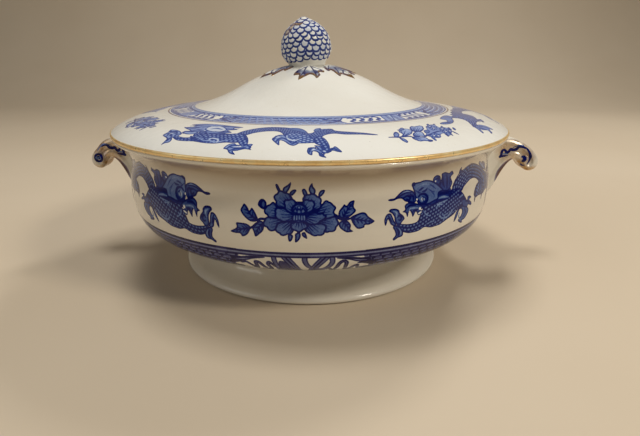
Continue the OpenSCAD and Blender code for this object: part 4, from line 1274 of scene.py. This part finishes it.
def make_cover():
    """from the underside of the crown out to the edge, and back over the dome"""
    under = offset(dome_outside, WALL)
    under = under[(under[:, 0] < RIM_R - 8.4) & (under[:, 0] > 1)]
    profile = np.vstack([
        [[0, CROWN_Z - WALL]], under[::-1],
        bezier(under[0], [RIM_R - 7.2, EDGE_Z + 1.6], [RIM_R - 7.2, EDGE_Z],
               [RIM_R - 6.2, EDGE_Z], 6),
        [[RIM_R - 1.4, EDGE_Z]],
        fillet([RIM_R - 1.0, EDGE_Z], [RIM_R, EDGE_Z], [RIM_R, EDGE_Z + 0.9], 5),
        fillet([RIM_R, EDGE_Z + 1.1], [RIM_R, EDGE_TOP], dome_outside[0], 5)[:-1],
        dome_outside, [[3, CROWN_Z + 0.02], [0, CROWN_Z + 0.02]]])
    build("cover_body", *lathe(profile), GLAZE_COVER, "cover", "glaze", stands="lid")


def make_flange():
    outer = 103.4
    thick = 3.6
    profile = np.array([
        [outer - 2.7, RIM_Z - 7], [outer - 0.9, RIM_Z - 7], [outer - 0.2, RIM_Z - 6.8],
        [outer, RIM_Z - 6.1], [outer, RIM_Z + 1], [outer, RIM_Z + 5.6],
        [outer - thick, RIM_Z + 6.2], [outer - thick, RIM_Z + 1], [outer - thick, RIM_Z - 6.1],
        [outer - 3.4, RIM_Z - 6.8]])
    build("cover_flange", *lathe(profile, ring=True), GLAZE_COVER, "cover", "glaze",
          stands="lid_flange")


def make_gilt_edge():
    gilt_r = RIM_R + 0.06
    profile = np.vstack([
        fillet([RIM_R - 0.9, EDGE_Z - 0.02], [gilt_r, EDGE_Z], [gilt_r, EDGE_Z + 0.8], 4),
        fillet([gilt_r, EDGE_TOP - 0.8], [gilt_r, EDGE_TOP + 0.02],
               [RIM_R - 0.5, EDGE_TOP + 0.14], 4),
        [[RIM_R - 0.85, EDGE_TOP + 0.33], [RIM_R - 0.9, EDGE_TOP + 0.1],
         [RIM_R - 0.7, EDGE_TOP - 0.4], [RIM_R - 0.45, EDGE_Z + 0.6]]])
    build("gilt_edge", *lathe(profile, ring=True), GILDING, "cover", "gilding")


# ------------------------------------------------------------------ prints
def painted(marks, *extent, pen, strength=1.0):
    """a canvas over x0, x1, y0, y1, step; strength scales every tone"""
    canvas = Canvas(*extent, pen=pen)
    canvas.paint(marks)
    canvas.tone = np.clip(canvas.tone * strength, 0, 1)
    return canvas


def make_bowl_prints():
    dragon = painted(BOWL_DRAGON, -53, 55, 43, 80, 0.24, pen=1.18)
    peony = painted(PEONY, -36, 37, 46, 77, 0.24, pen=1.55)
    for i, (degrees, flip) in enumerate(((0, False), (0, True), (180, False), (180, True))):
        build_print(f"bowl_dragon_{i + 1}", dragon, on_wall_leaning if flip else on_wall(-45.0),
                    PRINT_BOWL, "tureen", degrees, flip)
    for i, degrees in enumerate((0, 180)):
        build_print(f"bowl_peony_{i + 1}", peony, on_wall(-90.0), PRINT_BOWL, "tureen", degrees)
    build_band("bowl_band", bowl_band_canvas(), 2, wall_band, BAND_BOWL, "tureen", start=-PI)


def make_cover_prints():
    faded = 0.84
    spray_at = -54.0                                # degrees
    dragons = (
        (painted(COVER_DRAGON, -60, 53, -1.5, 31, 0.26, pen=1.25, strength=faded), -97.0),
        (painted(SIDE_DRAGON, -34, 88, -1, 33, 0.26, pen=1.15, strength=faded), -30.0))
    spray = painted(SPRAY, -34, 30, 0, 30, 0.26, pen=1.12, strength=faded)
    for i in range(4):
        dragon, degrees = dragons[i % 2]
        build_print(f"cover_dragon_{i + 1}", dragon, on_dome(degrees), PRINT_COVER, "cover",
                    180 * (i // 2))
        build_print(f"cover_spray_{i + 1}", spray, on_dome(spray_at), PRINT_COVER, "cover",
                    90 * i - (3 if i == 3 else 0))
    build_band("cover_band", cover_band_canvas(), 4, dome_band, BAND_COVER, "cover",
               start=math.radians(spray_at) - COVER_BAND_HALF / COVER_BAND_R)


# ------------------------------------------------------------------ finial
def finial_scales(cone, start, s, angle, radius):
    """height, tone and gilding of overlapping scales, over arc length s and angle"""
    height, tone, gold = np.zeros(s.shape), np.zeros(s.shape), np.zeros(s.shape)
    pitch = 2.74
    rows = cone.length[-1] - 0.4 - np.arange(13) * pitch
    rows = rows[rows - pitch > start + 1.5]
    for k in range(len(rows) - 1, -1, -1):          # from the lowest, so higher rows overlap
        row_r = float(cone.at(rows[k])[0])
        count = max(4, int(round(2 * PI * row_r / 4.5)))
        first = rng.uniform(0, 2 * PI)
        for j in range(count):
            middle = first + (j + rng.uniform(-0.17, 0.17)) * 2 * PI / count
            level = rows[k] + rng.uniform(-0.5, 0.5)
            half_width = (2 * PI * row_r / count) * rng.uniform(0.52, 0.62)
            half_height = pitch * rng.uniform(0.92, 1.10)
            u = ((angle - middle + PI) % (2 * PI) - PI) * radius[:, None] / half_width
            v = (s - level) / half_height
            rho = (np.abs(u) ** 2.3 + np.abs(v) ** 2.3) ** (1 / 2.3)
            inside = (rho < 1) & (v < 0.9)
            if not inside.any():
                continue
            down = np.clip(-v / (rho + 1e-6), 0, 1)
            edge = 0.77 - 0.16 * down + rng.uniform(-0.04, 0.04)
            line = np.clip((rho - edge) / 0.10 + 0.5, 0, 1)
            pale = rng.uniform(0.01, 0.09)
            tone[inside] = (pale * (1 - line) + rng.uniform(0.86, 1.0) * line)[inside]
            height[inside] = (0.50 * np.clip(1 - rho ** 2.6, 0, 1) ** 0.7)[inside]
            # some scales in a patch at the front left are smudged with gold
            degrees = math.degrees((middle + PI) % (2 * PI) - PI)
            smudged = k in (3, 4, 5) and -156 < degrees < -106 and rng.random() < 0.6
            gold[inside] = (0.9 * (1 - 0.4 * line))[inside] if smudged else 0.0
    return height, tone, gold


def make_finial():
    columns, cone_rows = 336, 250
    tall = FINIAL_Z - CROWN_Z - 0.05
    cone = Profile(np.vstack([
        [[9.6, -1.2], [10.5, -0.6], [10.9, 0]],
        bezier([10.9, 0], [12.2, 3.0], [15.2, 5.6], [15.2, 0.32 * tall], 24),
        bezier([15.2, 0.32 * tall], [15.2, 0.75 * tall], [8.4, 0.85 * tall], [0.8, tall], 40),
        [[0, tall + 0.02]]]))
    start = cone.length[3]
    stations = np.r_[np.linspace(0, start, 4)[:-1],
                     np.linspace(start, cone.length[-1], cone_rows)]
    s, angle = np.meshgrid(stations, np.arange(columns) * 2 * PI / columns, indexing="ij")
    r, z = cone.at(stations)
    nr, nz = cone.normal(stations)
    height, tone, gold = finial_scales(cone, start, s, angle, r)
    fade = np.clip((cone.length[-1] - stations) / 1.5, 0, 1)[:, None]
    raised = (height - 0.14) * fade * (s > start)
    skin = polar(r[:, None] + nr[:, None] * raised, angle, z[:, None] + nz[:, None] * raised)
    v = np.vstack([skin[:-1].reshape(-1, 3), skin[-1].mean(0)[None], [[0, 0, -1.3]]])
    rows = [i * columns + np.arange(columns) for i in range(len(stations) - 1)]
    quads = np.vstack([np.stack([a, b, np.roll(b, -1), np.roll(a, -1)], 1)
                       for a, b in zip(rows[:-1], rows[1:])])
    tip = len(rows) * columns
    caps = np.vstack([
        np.stack([rows[-1], np.full(columns, tip), np.roll(rows[-1], -1)], 1),
        np.stack([np.full(columns, tip + 1), rows[0], np.roll(rows[0], -1)], 1)])
    paint = np.zeros((len(v), 2))
    paint[:tip, 0] = tone[:-1].ravel()
    paint[:tip, 1] = gold[:-1].ravel()
    lean = math.radians(-5.5)
    x = v[:, 0] * math.cos(lean) + v[:, 2] * math.sin(lean)
    z = -v[:, 0] * math.sin(lean) + v[:, 2] * math.cos(lean)
    v = np.stack([x - 1.6, v[:, 1], z + CROWN_Z], 1)
    build("finial_body", v, [quads, caps], PAINTED_FINIAL, "cover", "glaze", paint, sharp=70,
          stands="finial_cone")


# Leaves round the finial: x is across the leaf, y is out from the axis. Four are plain and two,
# at opposite sides, are double. Each has an outline, a rib and veins.
PLAIN_SIDE = points("""
    2.3,11.0 4.2,13.4 6.3,15.6 8.3,19.4 6.6,19.6 5.0,19.2 5.6,21.4 7.0,24.0 8.3,28.0 6.4,27.6
    4.9,26.4 3.4,27.2 2.0,30.0 0.25,32.8""")
PLAIN_RIB = points("0,10.5 0.1,16 -0.1,22 0,27 0,32.2")
PLAIN_VEINS = ("0,13 2.5,15.5 6.6,18.4", "0,17.5 2.6,21 6.9,26.6", "0,23 1.6,25.4 3.2,26.6")
DOUBLE_OUTLINE = points("""
    -2.3,11 -4.6,13.6 -6.8,16.4 -9.0,19.6 -8.6,21.8 -6.6,21.6 -6.2,23.4 -6.9,25.6 -6.4,28
    -5.0,30.8 -3.6,28.2 -2.2,26.6 -0.7,26.4 0.8,28 2.6,30 5.2,32.6 5.4,29.6 5.3,26.6 6.4,26.2
    8.4,26.4 8.2,23.2 7.2,20.2 6.0,17.2 4.6,13.6 2.3,11""")
DOUBLE_RIB = points("0.6,12 1.6,17 2.4,22 3.6,27 4.9,31.4")
DOUBLE_VEINS = ("-0.4,13 -1.6,18 -3.0,23 -4.8,29", "-1.2,15 -4,18 -7.4,20.4",
                "1.4,16 4,19.6 7.2,24.6", "-2.4,21 -4.4,22.6 -6.0,22.8", "2.6,23 3.0,26 1.6,28")
# patches of blue on the double leaves: strength, x, y, spread in x, spread in y
DOUBLE_PATCHES = ((0.75, 1.6, 26.4, 2.4, 3.0), (1.0, -5.2, 24.6, 2.6, 2.0),
                  (1.25, 7.0, 23.4, 2.0, 2.6))


def plain_leaf_lines(jitter, lean):
    def skewed(path):
        return np.column_stack([path[:, 0] + lean * ((path[:, 1] - 11) / 22) ** 2, path[:, 1]])
    side = PLAIN_SIDE.copy()
    side[8, 1] += 0.3 * jitter[0]
    other = side * [-1, 1]
    other[:-1, 1] += 0.35 * jitter[1]
    outline = np.vstack([skewed(side), skewed(other)[::-1]])
    veins = [skewed(points(vein) * [sign, 1]) for sign in (-1, 1) for vein in PLAIN_VEINS]
    return outline, skewed(PLAIN_RIB), veins


def make_finial_leaf(i):
    double = i % 3 == 0
    jitter = rng.uniform(-0.5, 0.5, 6)
    lean = rng.uniform(-1.2, 1.2)
    canvas = Canvas(-10, 10, 9.5, 34, 0.16)
    X, Y = canvas.X, canvas.Y
    if double:
        outline, rib, veins = DOUBLE_OUTLINE, DOUBLE_RIB, [points(v) for v in DOUBLE_VEINS]
    else:
        outline, rib, veins = plain_leaf_lines(jitter, lean)
    d = canvas.outline_distance(ALL, spline(outline, 4, True))
    canvas.cover = canvas.coverage(d)
    depth = -d                                      # in from the outline
    to_rib = canvas.distance_to(rib)
    to_vein = np.minimum.reduce([canvas.distance_to(vein) for vein in veins])
    # a rounded body, with grooves along the rib and veins
    relief = (1.05 * (1 - np.exp(-np.clip(depth, 0, 9) / 0.9))
              - 0.42 * np.exp(-(to_rib / 0.42) ** 2) - 0.34 * np.exp(-(to_vein / 0.36) ** 2)
              + 0.12 * np.exp(-((to_rib - 1.1) / 0.5) ** 2))
    relief = np.clip(relief, 0.02, 1.4) * np.clip((Y - 9.8) / 1.5, 0.3, 1)
    # patches of blue wash, dark veins, and browned gilding along the edges and tips
    if double:
        wash = sum(strength * np.exp(-((X - x) / spread_x) ** 2 - ((Y - y) / spread_y) ** 2)
                   for strength, x, y, spread_x, spread_y in DOUBLE_PATCHES)
        wash = wash * np.clip(depth / 0.7, 0, 1)
    else:
        wash = (0.42 * np.exp(-((Y - 19 - jitter[3] * 4) / 4.0) ** 2)
                * np.clip(depth / 1.2 - 0.4, 0, 1))
    tone = np.clip(0.02 + wash * (0.8 + 0.2 * np.sin(X * 1.9 + i) * np.cos(Y * 1.1)), 0, 1)
    tone = np.maximum(tone, 0.95 * np.exp(-(to_vein / 0.32) ** 2) * np.clip((Y - 12) / 4, 0, 1))
    tone = np.maximum(tone, 0.90 * np.exp(-(to_rib / 0.32) ** 2) * np.clip((Y - 12) / 5, 0, 1))
    edge = np.clip((1.15 - depth) / 0.45, 0, 1) * np.clip((Y - 12) / 3, 0, 1)
    rubbed = 0.5 + 0.5 * np.sin(X * 1.3 + Y * 0.9 + jitter[2] * 4)
    canvas.tone = np.maximum(tone, edge * (0.62 + 0.3 * rubbed))
    tip = np.clip((Y - 28.6) / 1.4, 0, 1)
    canvas.gold = np.clip(np.maximum(tip, edge * (0.30 + 0.55 * rubbed)), 0, 1)
    degrees = -95 + 60 * i + (5 if double else 0)
    v, faces, paint = cut(canvas, on_dome_radial(degrees), 0.04, 0.35, relief)
    build(f"finial_leaf_{i + 1}", v, faces, PAINTED_LEAF, "cover", "gilding", paint, sharp=60,
          stands="finial_leaves" if i == 0 else None)


# ------------------------------------------------------------------ handles
def surface_nets(field, xs, ys, zs):
    """the zero surface of a field: one point in each cell it crosses"""
    shape = tuple(n - 1 for n in field.shape)
    total, count = np.zeros(shape + (3,)), np.zeros(shape)
    index = np.full(shape, -1)
    crossings = []

    def shifted(p, others, du, dv):
        c = p.copy()
        c[:, others[0]] += du
        c[:, others[1]] += dv
        return c
    for axis in range(3):
        a = [slice(None)] * 3
        b = [slice(None)] * 3
        a[axis], b[axis] = slice(None, -1), slice(1, None)
        f0, f1 = field[tuple(a)], field[tuple(b)]
        m = (f0 < 0) != (f1 < 0)
        p = np.argwhere(m)
        position = p.astype(float)
        position[:, axis] += f0[m] / (f0[m] - f1[m])
        others = [k for k in range(3) if k != axis]
        limit = [shape[k] for k in others]
        for du in (0, -1):
            for dv in (0, -1):
                c = shifted(p, others, du, dv)
                ok = ((c[:, others] >= 0) & (c[:, others] < limit)).all(1)
                np.add.at(total, tuple(c[ok].T), position[ok])
                np.add.at(count, tuple(c[ok].T), 1)
        crossings.append((axis, others, limit, p, f0[m] < 0))
    live = count > 0
    index[live] = np.arange(live.sum())
    cells = total[live] / count[live][:, None]
    quads = []
    for axis, others, limit, p, negative in crossings:
        ok = ((p[:, others] > 0) & (p[:, others] < limit)).all(1)
        p, negative = p[ok], negative[ok]
        quad = np.stack([index[tuple(shifted(p, others, du, dv).T)]
                         for du, dv in ((-1, -1), (0, -1), (0, 0), (-1, 0))], 1)
        keep = negative if axis != 1 else ~negative
        quad[~keep] = quad[~keep][:, ::-1]
        quads.append(quad)
    out = np.empty_like(cells)
    for k, grid in enumerate((xs, ys, zs)):
        i = np.clip(cells[:, k].astype(int), 0, len(grid) - 2)
        out[:, k] = grid[i] + (cells[:, k] - i) * (grid[i + 1] - grid[i])
    return out, np.vstack(quads)


# The right handle's scroll as (x, z), drawn reaching out to x = 147.5.
SCROLL_REACH = 147.5
SCROLL = points("""
    113.6,79.6 118.5,79.2 123.5,78.6 128.5,77.9 133.5,76.2 138.5,73.8 143,70.6 146.4,66.6
    147.5,62.8 146.2,59.2 143.2,57.4 139.6,57.6 135.9,59.6 133,62.6 130.6,64.7 128.2,63.7
    125.6,60.6 122.8,55.6 120.2,50 117.4,44.8 113,40 107.6,37.8 104,40 104,53 104,68 106,76
    109.4,79.2""")
# the raised line under the upper edge, and the lower edge of the sunk face
RIDGE = points("""
    108,76.4 114,76.6 119,76.3 124,75.7 129,74.6 133.6,72.9 138,70.4 141.6,67.3 143.6,63.9
    143.2,61.2 140.9,60.2 138.2,61.1 136.4,63.2 136.8,65.4 138.6,65.6""")
SUNK_BELOW = points("""
    108,44 112.2,45 115.4,49.4 118.4,54.6 121.2,60.4 124.4,65.6 128,68.4 131.4,68.2 133.8,66.4
    135.4,63.6 137.2,61.2""")
ROOT_EDGE = points("111.0,40.2 117,46.2 119.8,51 122.4,56.6 125.4,61.6 128,64.4")
UNDER_CURL = points("133.4,62.4 136.6,59.2 140.4,57.4 144,58.0")

HANDLE_LINES = """
line 0.7 0.9 0.9 0.75 0.95 0.85 1.05 0.95 1.05 0.85 0.6 0.3 1: 120.9,66.4 121.8,67.6 122.0,70.0
  123.4,70.9 124.9,69.4 126.1,69.7 127.3,71.1 129.0,70.9 130.8,71.4 132.0,72.9 134.4,72.8
  136.4,71.9;
line 0.55 0.65 0.2 1: 121.0,66.1 123.2,66.9 125.6,67.3;
line 0.3 0.5 0.2 0.3: 122.4,68.2 124.0,68.4 125.8,68.2
"""
RIGHT_LINES = """
line 0.35 0.55 0.75 0.85 0.7 0.4 1: 133.0,73.9 137.2,72.2 139.6,69.8 140.9,67.0 140.6,64.2
  139.4,62.0;
line 0.2 0.45 0.3 0.55: 128.6,72.3 131.6,73.9 135.4,73.9;
line 0.7 1.1 1.1 0.7 1: 135.0,66.6 136.4,66.4 136.6,65.0 135.4,64.0;
line 0.3 0.45 0.3 0.8: 134.6,61.9 135.8,61.2 137.0,61.3
"""
# about the centre of the left scroll's eye
EYE_LINES = """
line 1.3 1.3 0.3: -0.8,0 0.8,0;
line 0.3 0.45 0.5 0.25 1: 0.9,0.6 -0.2,0.9 -0.7,0 0.1,-0.7
"""
LEFT_ARC = """
line 0.1 0.3 0.4 0.4 0.2 0.4: 128.6,71.6 131.0,73.4 134.6,73.6 138.0,72.0 141.4,69.4
"""


class Scroll:
    """a handle's shape on an (x, z) grid: distance to its outline, and half width along y"""
    ROUND = 2.9                                     # radius of its long edges

    def __init__(self, reach):
        self.extra = reach - SCROLL_REACH
        self.grid = Canvas(103, 150, 35, 82, 0.42)
        X, Z = self.grid.X, self.grid.Y
        self.outline = self.grid.outline_distance(ALL, spline(self.stretched(SCROLL), 6, True))
        ridge = self.stretched(RIDGE)
        sunk = self.grid.outline_distance(ALL, np.vstack([
            spline(ridge, 5), spline(self.stretched(SUNK_BELOW), 5)[::-1]]))
        eye_x, eye_z = 137.4 + self.extra * 0.44, 64.6
        recess = 0.85 * np.clip(-sunk / 1.6, 0, 1)
        boss = 1.0 * np.exp(-((X - eye_x) ** 2 + (Z - eye_z) ** 2) / 1.8 ** 2)
        spread = (1.0 + 2.0 * np.clip((121 - X) / 14, 0, 1) ** 2
                  + 0.7 * np.exp(-((X - eye_x - 1) ** 2 + (Z - eye_z) ** 2) / 60))
        self.half_width = (5.7 + spread - recess + boss
                           + 0.30 * np.exp(-(self.grid.distance_to(ridge) / 0.8) ** 2))

    def stretched(self, path):
        """moves the curl out to this handle's reach"""
        x = path[:, 0]
        return np.column_stack([x + self.extra * np.clip((x - 133) / 10, 0, 1), path[:, 1]])

    def sample(self, values, x, z):
        """reads a map of the grid at any (x, z)"""
        grid = self.grid
        i = np.clip((x - grid.xs[0]) / grid.step, 0, len(grid.xs) - 1.001)
        j = np.clip((z - grid.ys[0]) / grid.step, 0, len(grid.ys) - 1.001)
        i0, j0 = i.astype(int), j.astype(int)
        fi, fj = i - i0, j - j0
        return (values[j0, i0] * (1 - fi) * (1 - fj) + values[j0, i0 + 1] * fi * (1 - fj)
                + values[j0 + 1, i0] * (1 - fi) * fj + values[j0 + 1, i0 + 1] * fi * fj)

    def solid(self):
        """the scroll as a solid, softly joined to the bowl's wall"""
        X, Z = self.grid.X[:, :, None], self.grid.Y[:, :, None]
        ys = np.arange(-10.5, 10.51, 0.42)
        qx = (self.outline + self.ROUND)[:, :, None]
        qy = np.abs(ys)[None, None, :] - (self.half_width - self.ROUND)[:, :, None]
        scroll = (np.minimum(np.maximum(qx, qy), 0)
                  + np.hypot(np.maximum(qx, 0), np.maximum(qy, 0)) - self.ROUND)
        radius = np.hypot(X, ys[None, None, :])
        s = WALL_PROFILE.length_at(Z, 1)
        wall_r = WALL_PROFILE.at(s)[0]
        # the wall, a hair inside the bowl's own surface
        wall = (radius - wall_r) * WALL_PROFILE.normal(s)[0] + 0.16
        blend = 3.4
        h = np.clip(0.5 + 0.5 * (wall - scroll) / blend, 0, 1)
        joined = wall * (1 - h) + scroll * h - blend * h * (1 - h)
        field = np.where(Z < 80.6, joined, scroll)
        field = np.maximum(np.maximum(field, scroll - 4.6),
                           np.maximum((wall_r - 2.2) - radius, Z - 81.4))
        for end in (np.s_[0], np.s_[-1], np.s_[:, 0], np.s_[:, -1], np.s_[:, :, 0],
                    np.s_[:, :, -1]):
            field[end] = np.maximum(field[end], 0.2)        # closed at the grid's ends
        return surface_nets(np.transpose(field, (1, 2, 0)), self.grid.xs, ys, self.grid.ys)

    def face(self, sign):
        """places a canvas of (x, z) on the face at -y or +y"""
        def place(x, z):
            d, half = self.sample(self.outline, x, z), self.sample(self.half_width, x, z)
            rounded = self.ROUND ** 2 - np.maximum(d + self.ROUND, 0) ** 2
            y = half - self.ROUND + np.sqrt(np.maximum(rounded, 0.01))
            e = 0.3
            slope_x = (self.sample(self.half_width, x + e, z)
                       - self.sample(self.half_width, x - e, z)) / (2 * e)
            slope_z = (self.sample(self.half_width, x, z + e)
                       - self.sample(self.half_width, x, z - e)) / (2 * e)
            n = np.stack([-slope_x, np.ones_like(slope_x), -slope_z], 1)
            n /= np.linalg.norm(n, axis=1)[:, None]
            return np.stack([x, sign * y, z], 1), n * [1, sign, 1]
        return place


def handle_paint(scroll, v, left):
    """a blue wash, worn gilding along the root's outer edge and under the curl, and a tan gilded
    wash on the side faces that is partly painted shade
    """
    x, z, across = v[:, 0], v[:, 2], np.abs(v[:, 1])
    to_root = scroll.sample(scroll.grid.distance_to(ROOT_EDGE), x, z)
    to_curl = scroll.sample(scroll.grid.distance_to(scroll.stretched(UNDER_CURL)), x, z)
    wide = 0.5 + 2.2 * np.sin(PI * np.clip((z - 49.5) / 18, 0, 1)) ** 0.8
    root = (np.clip((wide - to_root) / 1.7, 0, 1) * np.clip((across - 2.6) / 1.0, 0, 1)
            * np.clip((z - 49.0) / 6, 0, 1) * np.clip((67 - z) / 2.5, 0, 1))
    curl = np.clip((3.8 - to_curl) / 2.6, 0, 1)
    # tan gilded wash on the side faces, partly painted shade: the faces turned from the light read
    # darker, and more so on the left handle
    tan_and_shade = (np.clip((np.hypot(x - 131, (z - 70) * 1.4) - 15) / -6, 0, 1)
           * np.clip((across - 4) / 1.5, 0, 1) * (0.78 if left else 0.62))
    wash = (np.exp(-(((x - 139.5 - scroll.extra) / 4.4) ** 2 + ((z - 66.5) / 4.4) ** 2))
            * (across > 4) * 0.14)
    tone = np.clip(np.maximum(wash, 0.95 * root), 0, 1)
    gold = np.clip(np.maximum(np.maximum(0.4 * root, curl), tan_and_shade), 0, 1)
    return np.stack([tone, gold], 1)


def make_handle(name, reach, left):
    """built on the right, and mirrored if it is the left one"""
    scroll = Scroll(reach)
    v, quads = scroll.solid()
    build(f"handle_{name}_body", turned(v, 0, left), [quads], GLAZE_HANDLE, "tureen", "glaze",
          handle_paint(scroll, v, left), sharp=60, stands=f"handle_{name}")
    lines = Canvas(118, 148, 54, 76, 0.15, pen=0.95)
    lines.paint(HANDLE_LINES, scroll.stretched)
    if left:
        # a ringed eye instead of the long arc
        eye = np.array([141.6 + scroll.extra, 64.6])
        turn = np.arange(11) * PI / 5
        lines.stroke(eye + np.column_stack([2.5 * np.cos(turn), 2.4 * np.sin(turn)]), 0.75, 1.0)
        lines.paint(EYE_LINES, lambda path: path + eye)
        lines.paint(LEFT_ARC, scroll.stretched)
    else:
        lines.paint(RIGHT_LINES, scroll.stretched)
    for side, sign in (("front", -1), ("back", 1)):
        build_print(f"handle_{name}_lines_{side}", lines, scroll.face(sign), PRINT_BOWL, "tureen",
                    flip=left, top=0.07, sink=0.3)


make_bowl()
make_foot()
make_cover()
make_flange()
make_gilt_edge()
make_bowl_prints()
make_cover_prints()
make_finial()
for leaf_number in range(6):
    make_finial_leaf(leaf_number)
make_handle("right", REACH_RIGHT, left=False)
make_handle("left", REACH_LEFT, left=True)


# ------------------------------------------------------------------ stage, light, camera (m)
def make_floor():
    """paper that runs back and curves up behind the tureen"""
    t = Shader("stage_paper")
    t.set("Base Color", t.ramp(t.noise(scale=3), [(0.3, srgb(203, 187, 164)),
                                                  (0.7, srgb(209, 194, 172))]))
    t.set("Roughness", 0.62)
    half_width, curve_start, curve_r = 6.0, 0.9, 0.5
    section = [(-6.0, 0.0), (curve_start, 0.0)]
    section += [(curve_start + curve_r * math.sin(a), curve_r - curve_r * math.cos(a))
                for a in np.linspace(0, PI / 2, 14)[1:]]
    section += [(curve_start + curve_r, 1.9)]
    verts = [(x, y, z) for y, z in section for x in (-half_width, half_width)]
    faces = [(2 * i, 2 * i + 1, 2 * i + 3, 2 * i + 2) for i in range(len(section) - 1)]
    mesh = bpy.data.meshes.new("studio_floor")
    mesh.from_pydata(verts, [], faces)
    mesh.polygons.foreach_set("use_smooth", np.ones(len(faces), bool))
    mesh.materials.append(t.material)
    floor = bpy.data.objects.new("studio_floor", mesh)
    scene.collection.objects.link(floor)


def make_world():
    """the lens sees a pale backdrop, while the light on the object stays dim"""
    world = bpy.data.worlds.new("studio")
    scene.world = world
    world.use_nodes = True
    tree = world.node_tree
    dim = tree.nodes["Background"]
    dim.inputs["Color"].default_value = srgb(226, 222, 214)
    dim.inputs["Strength"].default_value = 0.11
    backdrop = tree.nodes.new("ShaderNodeBackground")
    backdrop.inputs["Color"].default_value = srgb(176, 166, 151)
    backdrop.inputs["Strength"].default_value = 1.0
    ray = tree.nodes.new("ShaderNodeLightPath")
    both = tree.nodes.new("ShaderNodeMixShader")
    tree.links.new(ray.outputs["Is Camera Ray"], both.inputs[0])
    tree.links.new(dim.outputs[0], both.inputs[1])
    tree.links.new(backdrop.outputs[0], both.inputs[2])
    tree.links.new(both.outputs[0], tree.nodes["World Output"].inputs[0])


def area_light(name, place, aim_z, size, power, colour, glossy=True):
    """a square light aimed at the axis; glossy False keeps it out of reflections"""
    light = bpy.data.lights.new(name, "AREA")
    light.energy = power
    light.color = colour
    light.size = size
    ob = bpy.data.objects.new(name, light)
    scene.collection.objects.link(ob)
    ob.location = place
    ob.rotation_euler = (Vector((0, 0, aim_z)) - Vector(place)).to_track_quat("-Z", "Y").to_euler()
    if not glossy:
        ob.visible_glossy = False


def make_camera():
    camera = bpy.data.cameras.new("camera")
    camera.sensor_width, camera.lens, camera.clip_start = 36.0, 27.497, 0.01
    ob = bpy.data.objects.new("camera", camera)
    scene.collection.objects.link(ob)
    ob.location = (0.01498, -0.3176, 0.1295)
    heading, down = math.radians(-1.63), math.radians(18.70)    # heading is from +y towards +x
    look = Vector((math.sin(heading) * math.cos(down), math.cos(heading) * math.cos(down),
                   -math.sin(down)))
    ob.rotation_euler = look.to_track_quat("-Z", "Y").to_euler()
    scene.camera = ob


scene = bpy.context.scene
make_floor()
make_world()
area_light("key", place=(0.92, -0.66, 0.95), aim_z=0.06, size=0.26, power=8.2,
           colour=(1.0, 0.93, 0.81))
area_light("back", place=(0.50, 0.66, 1.05), aim_z=0.05, size=0.26, power=6.0,
           colour=(1.0, 0.98, 0.94), glossy=False)
area_light("top", place=(-0.16, 0.06, 1.40), aim_z=0.05, size=0.40, power=7.7,
           colour=(1.0, 0.985, 0.955), glossy=False)
area_light("fill", place=(-1.15, -0.55, 0.75), aim_z=0.06, size=0.8, power=2.4,
           colour=(1.0, 0.96, 0.89))
area_light("low", place=(0.0, -1.1, 0.07), aim_z=0.03, size=0.5, power=0.7,
           colour=(1.0, 0.90, 0.76), glossy=False)
make_camera()
scene.view_settings.view_transform = "Standard"
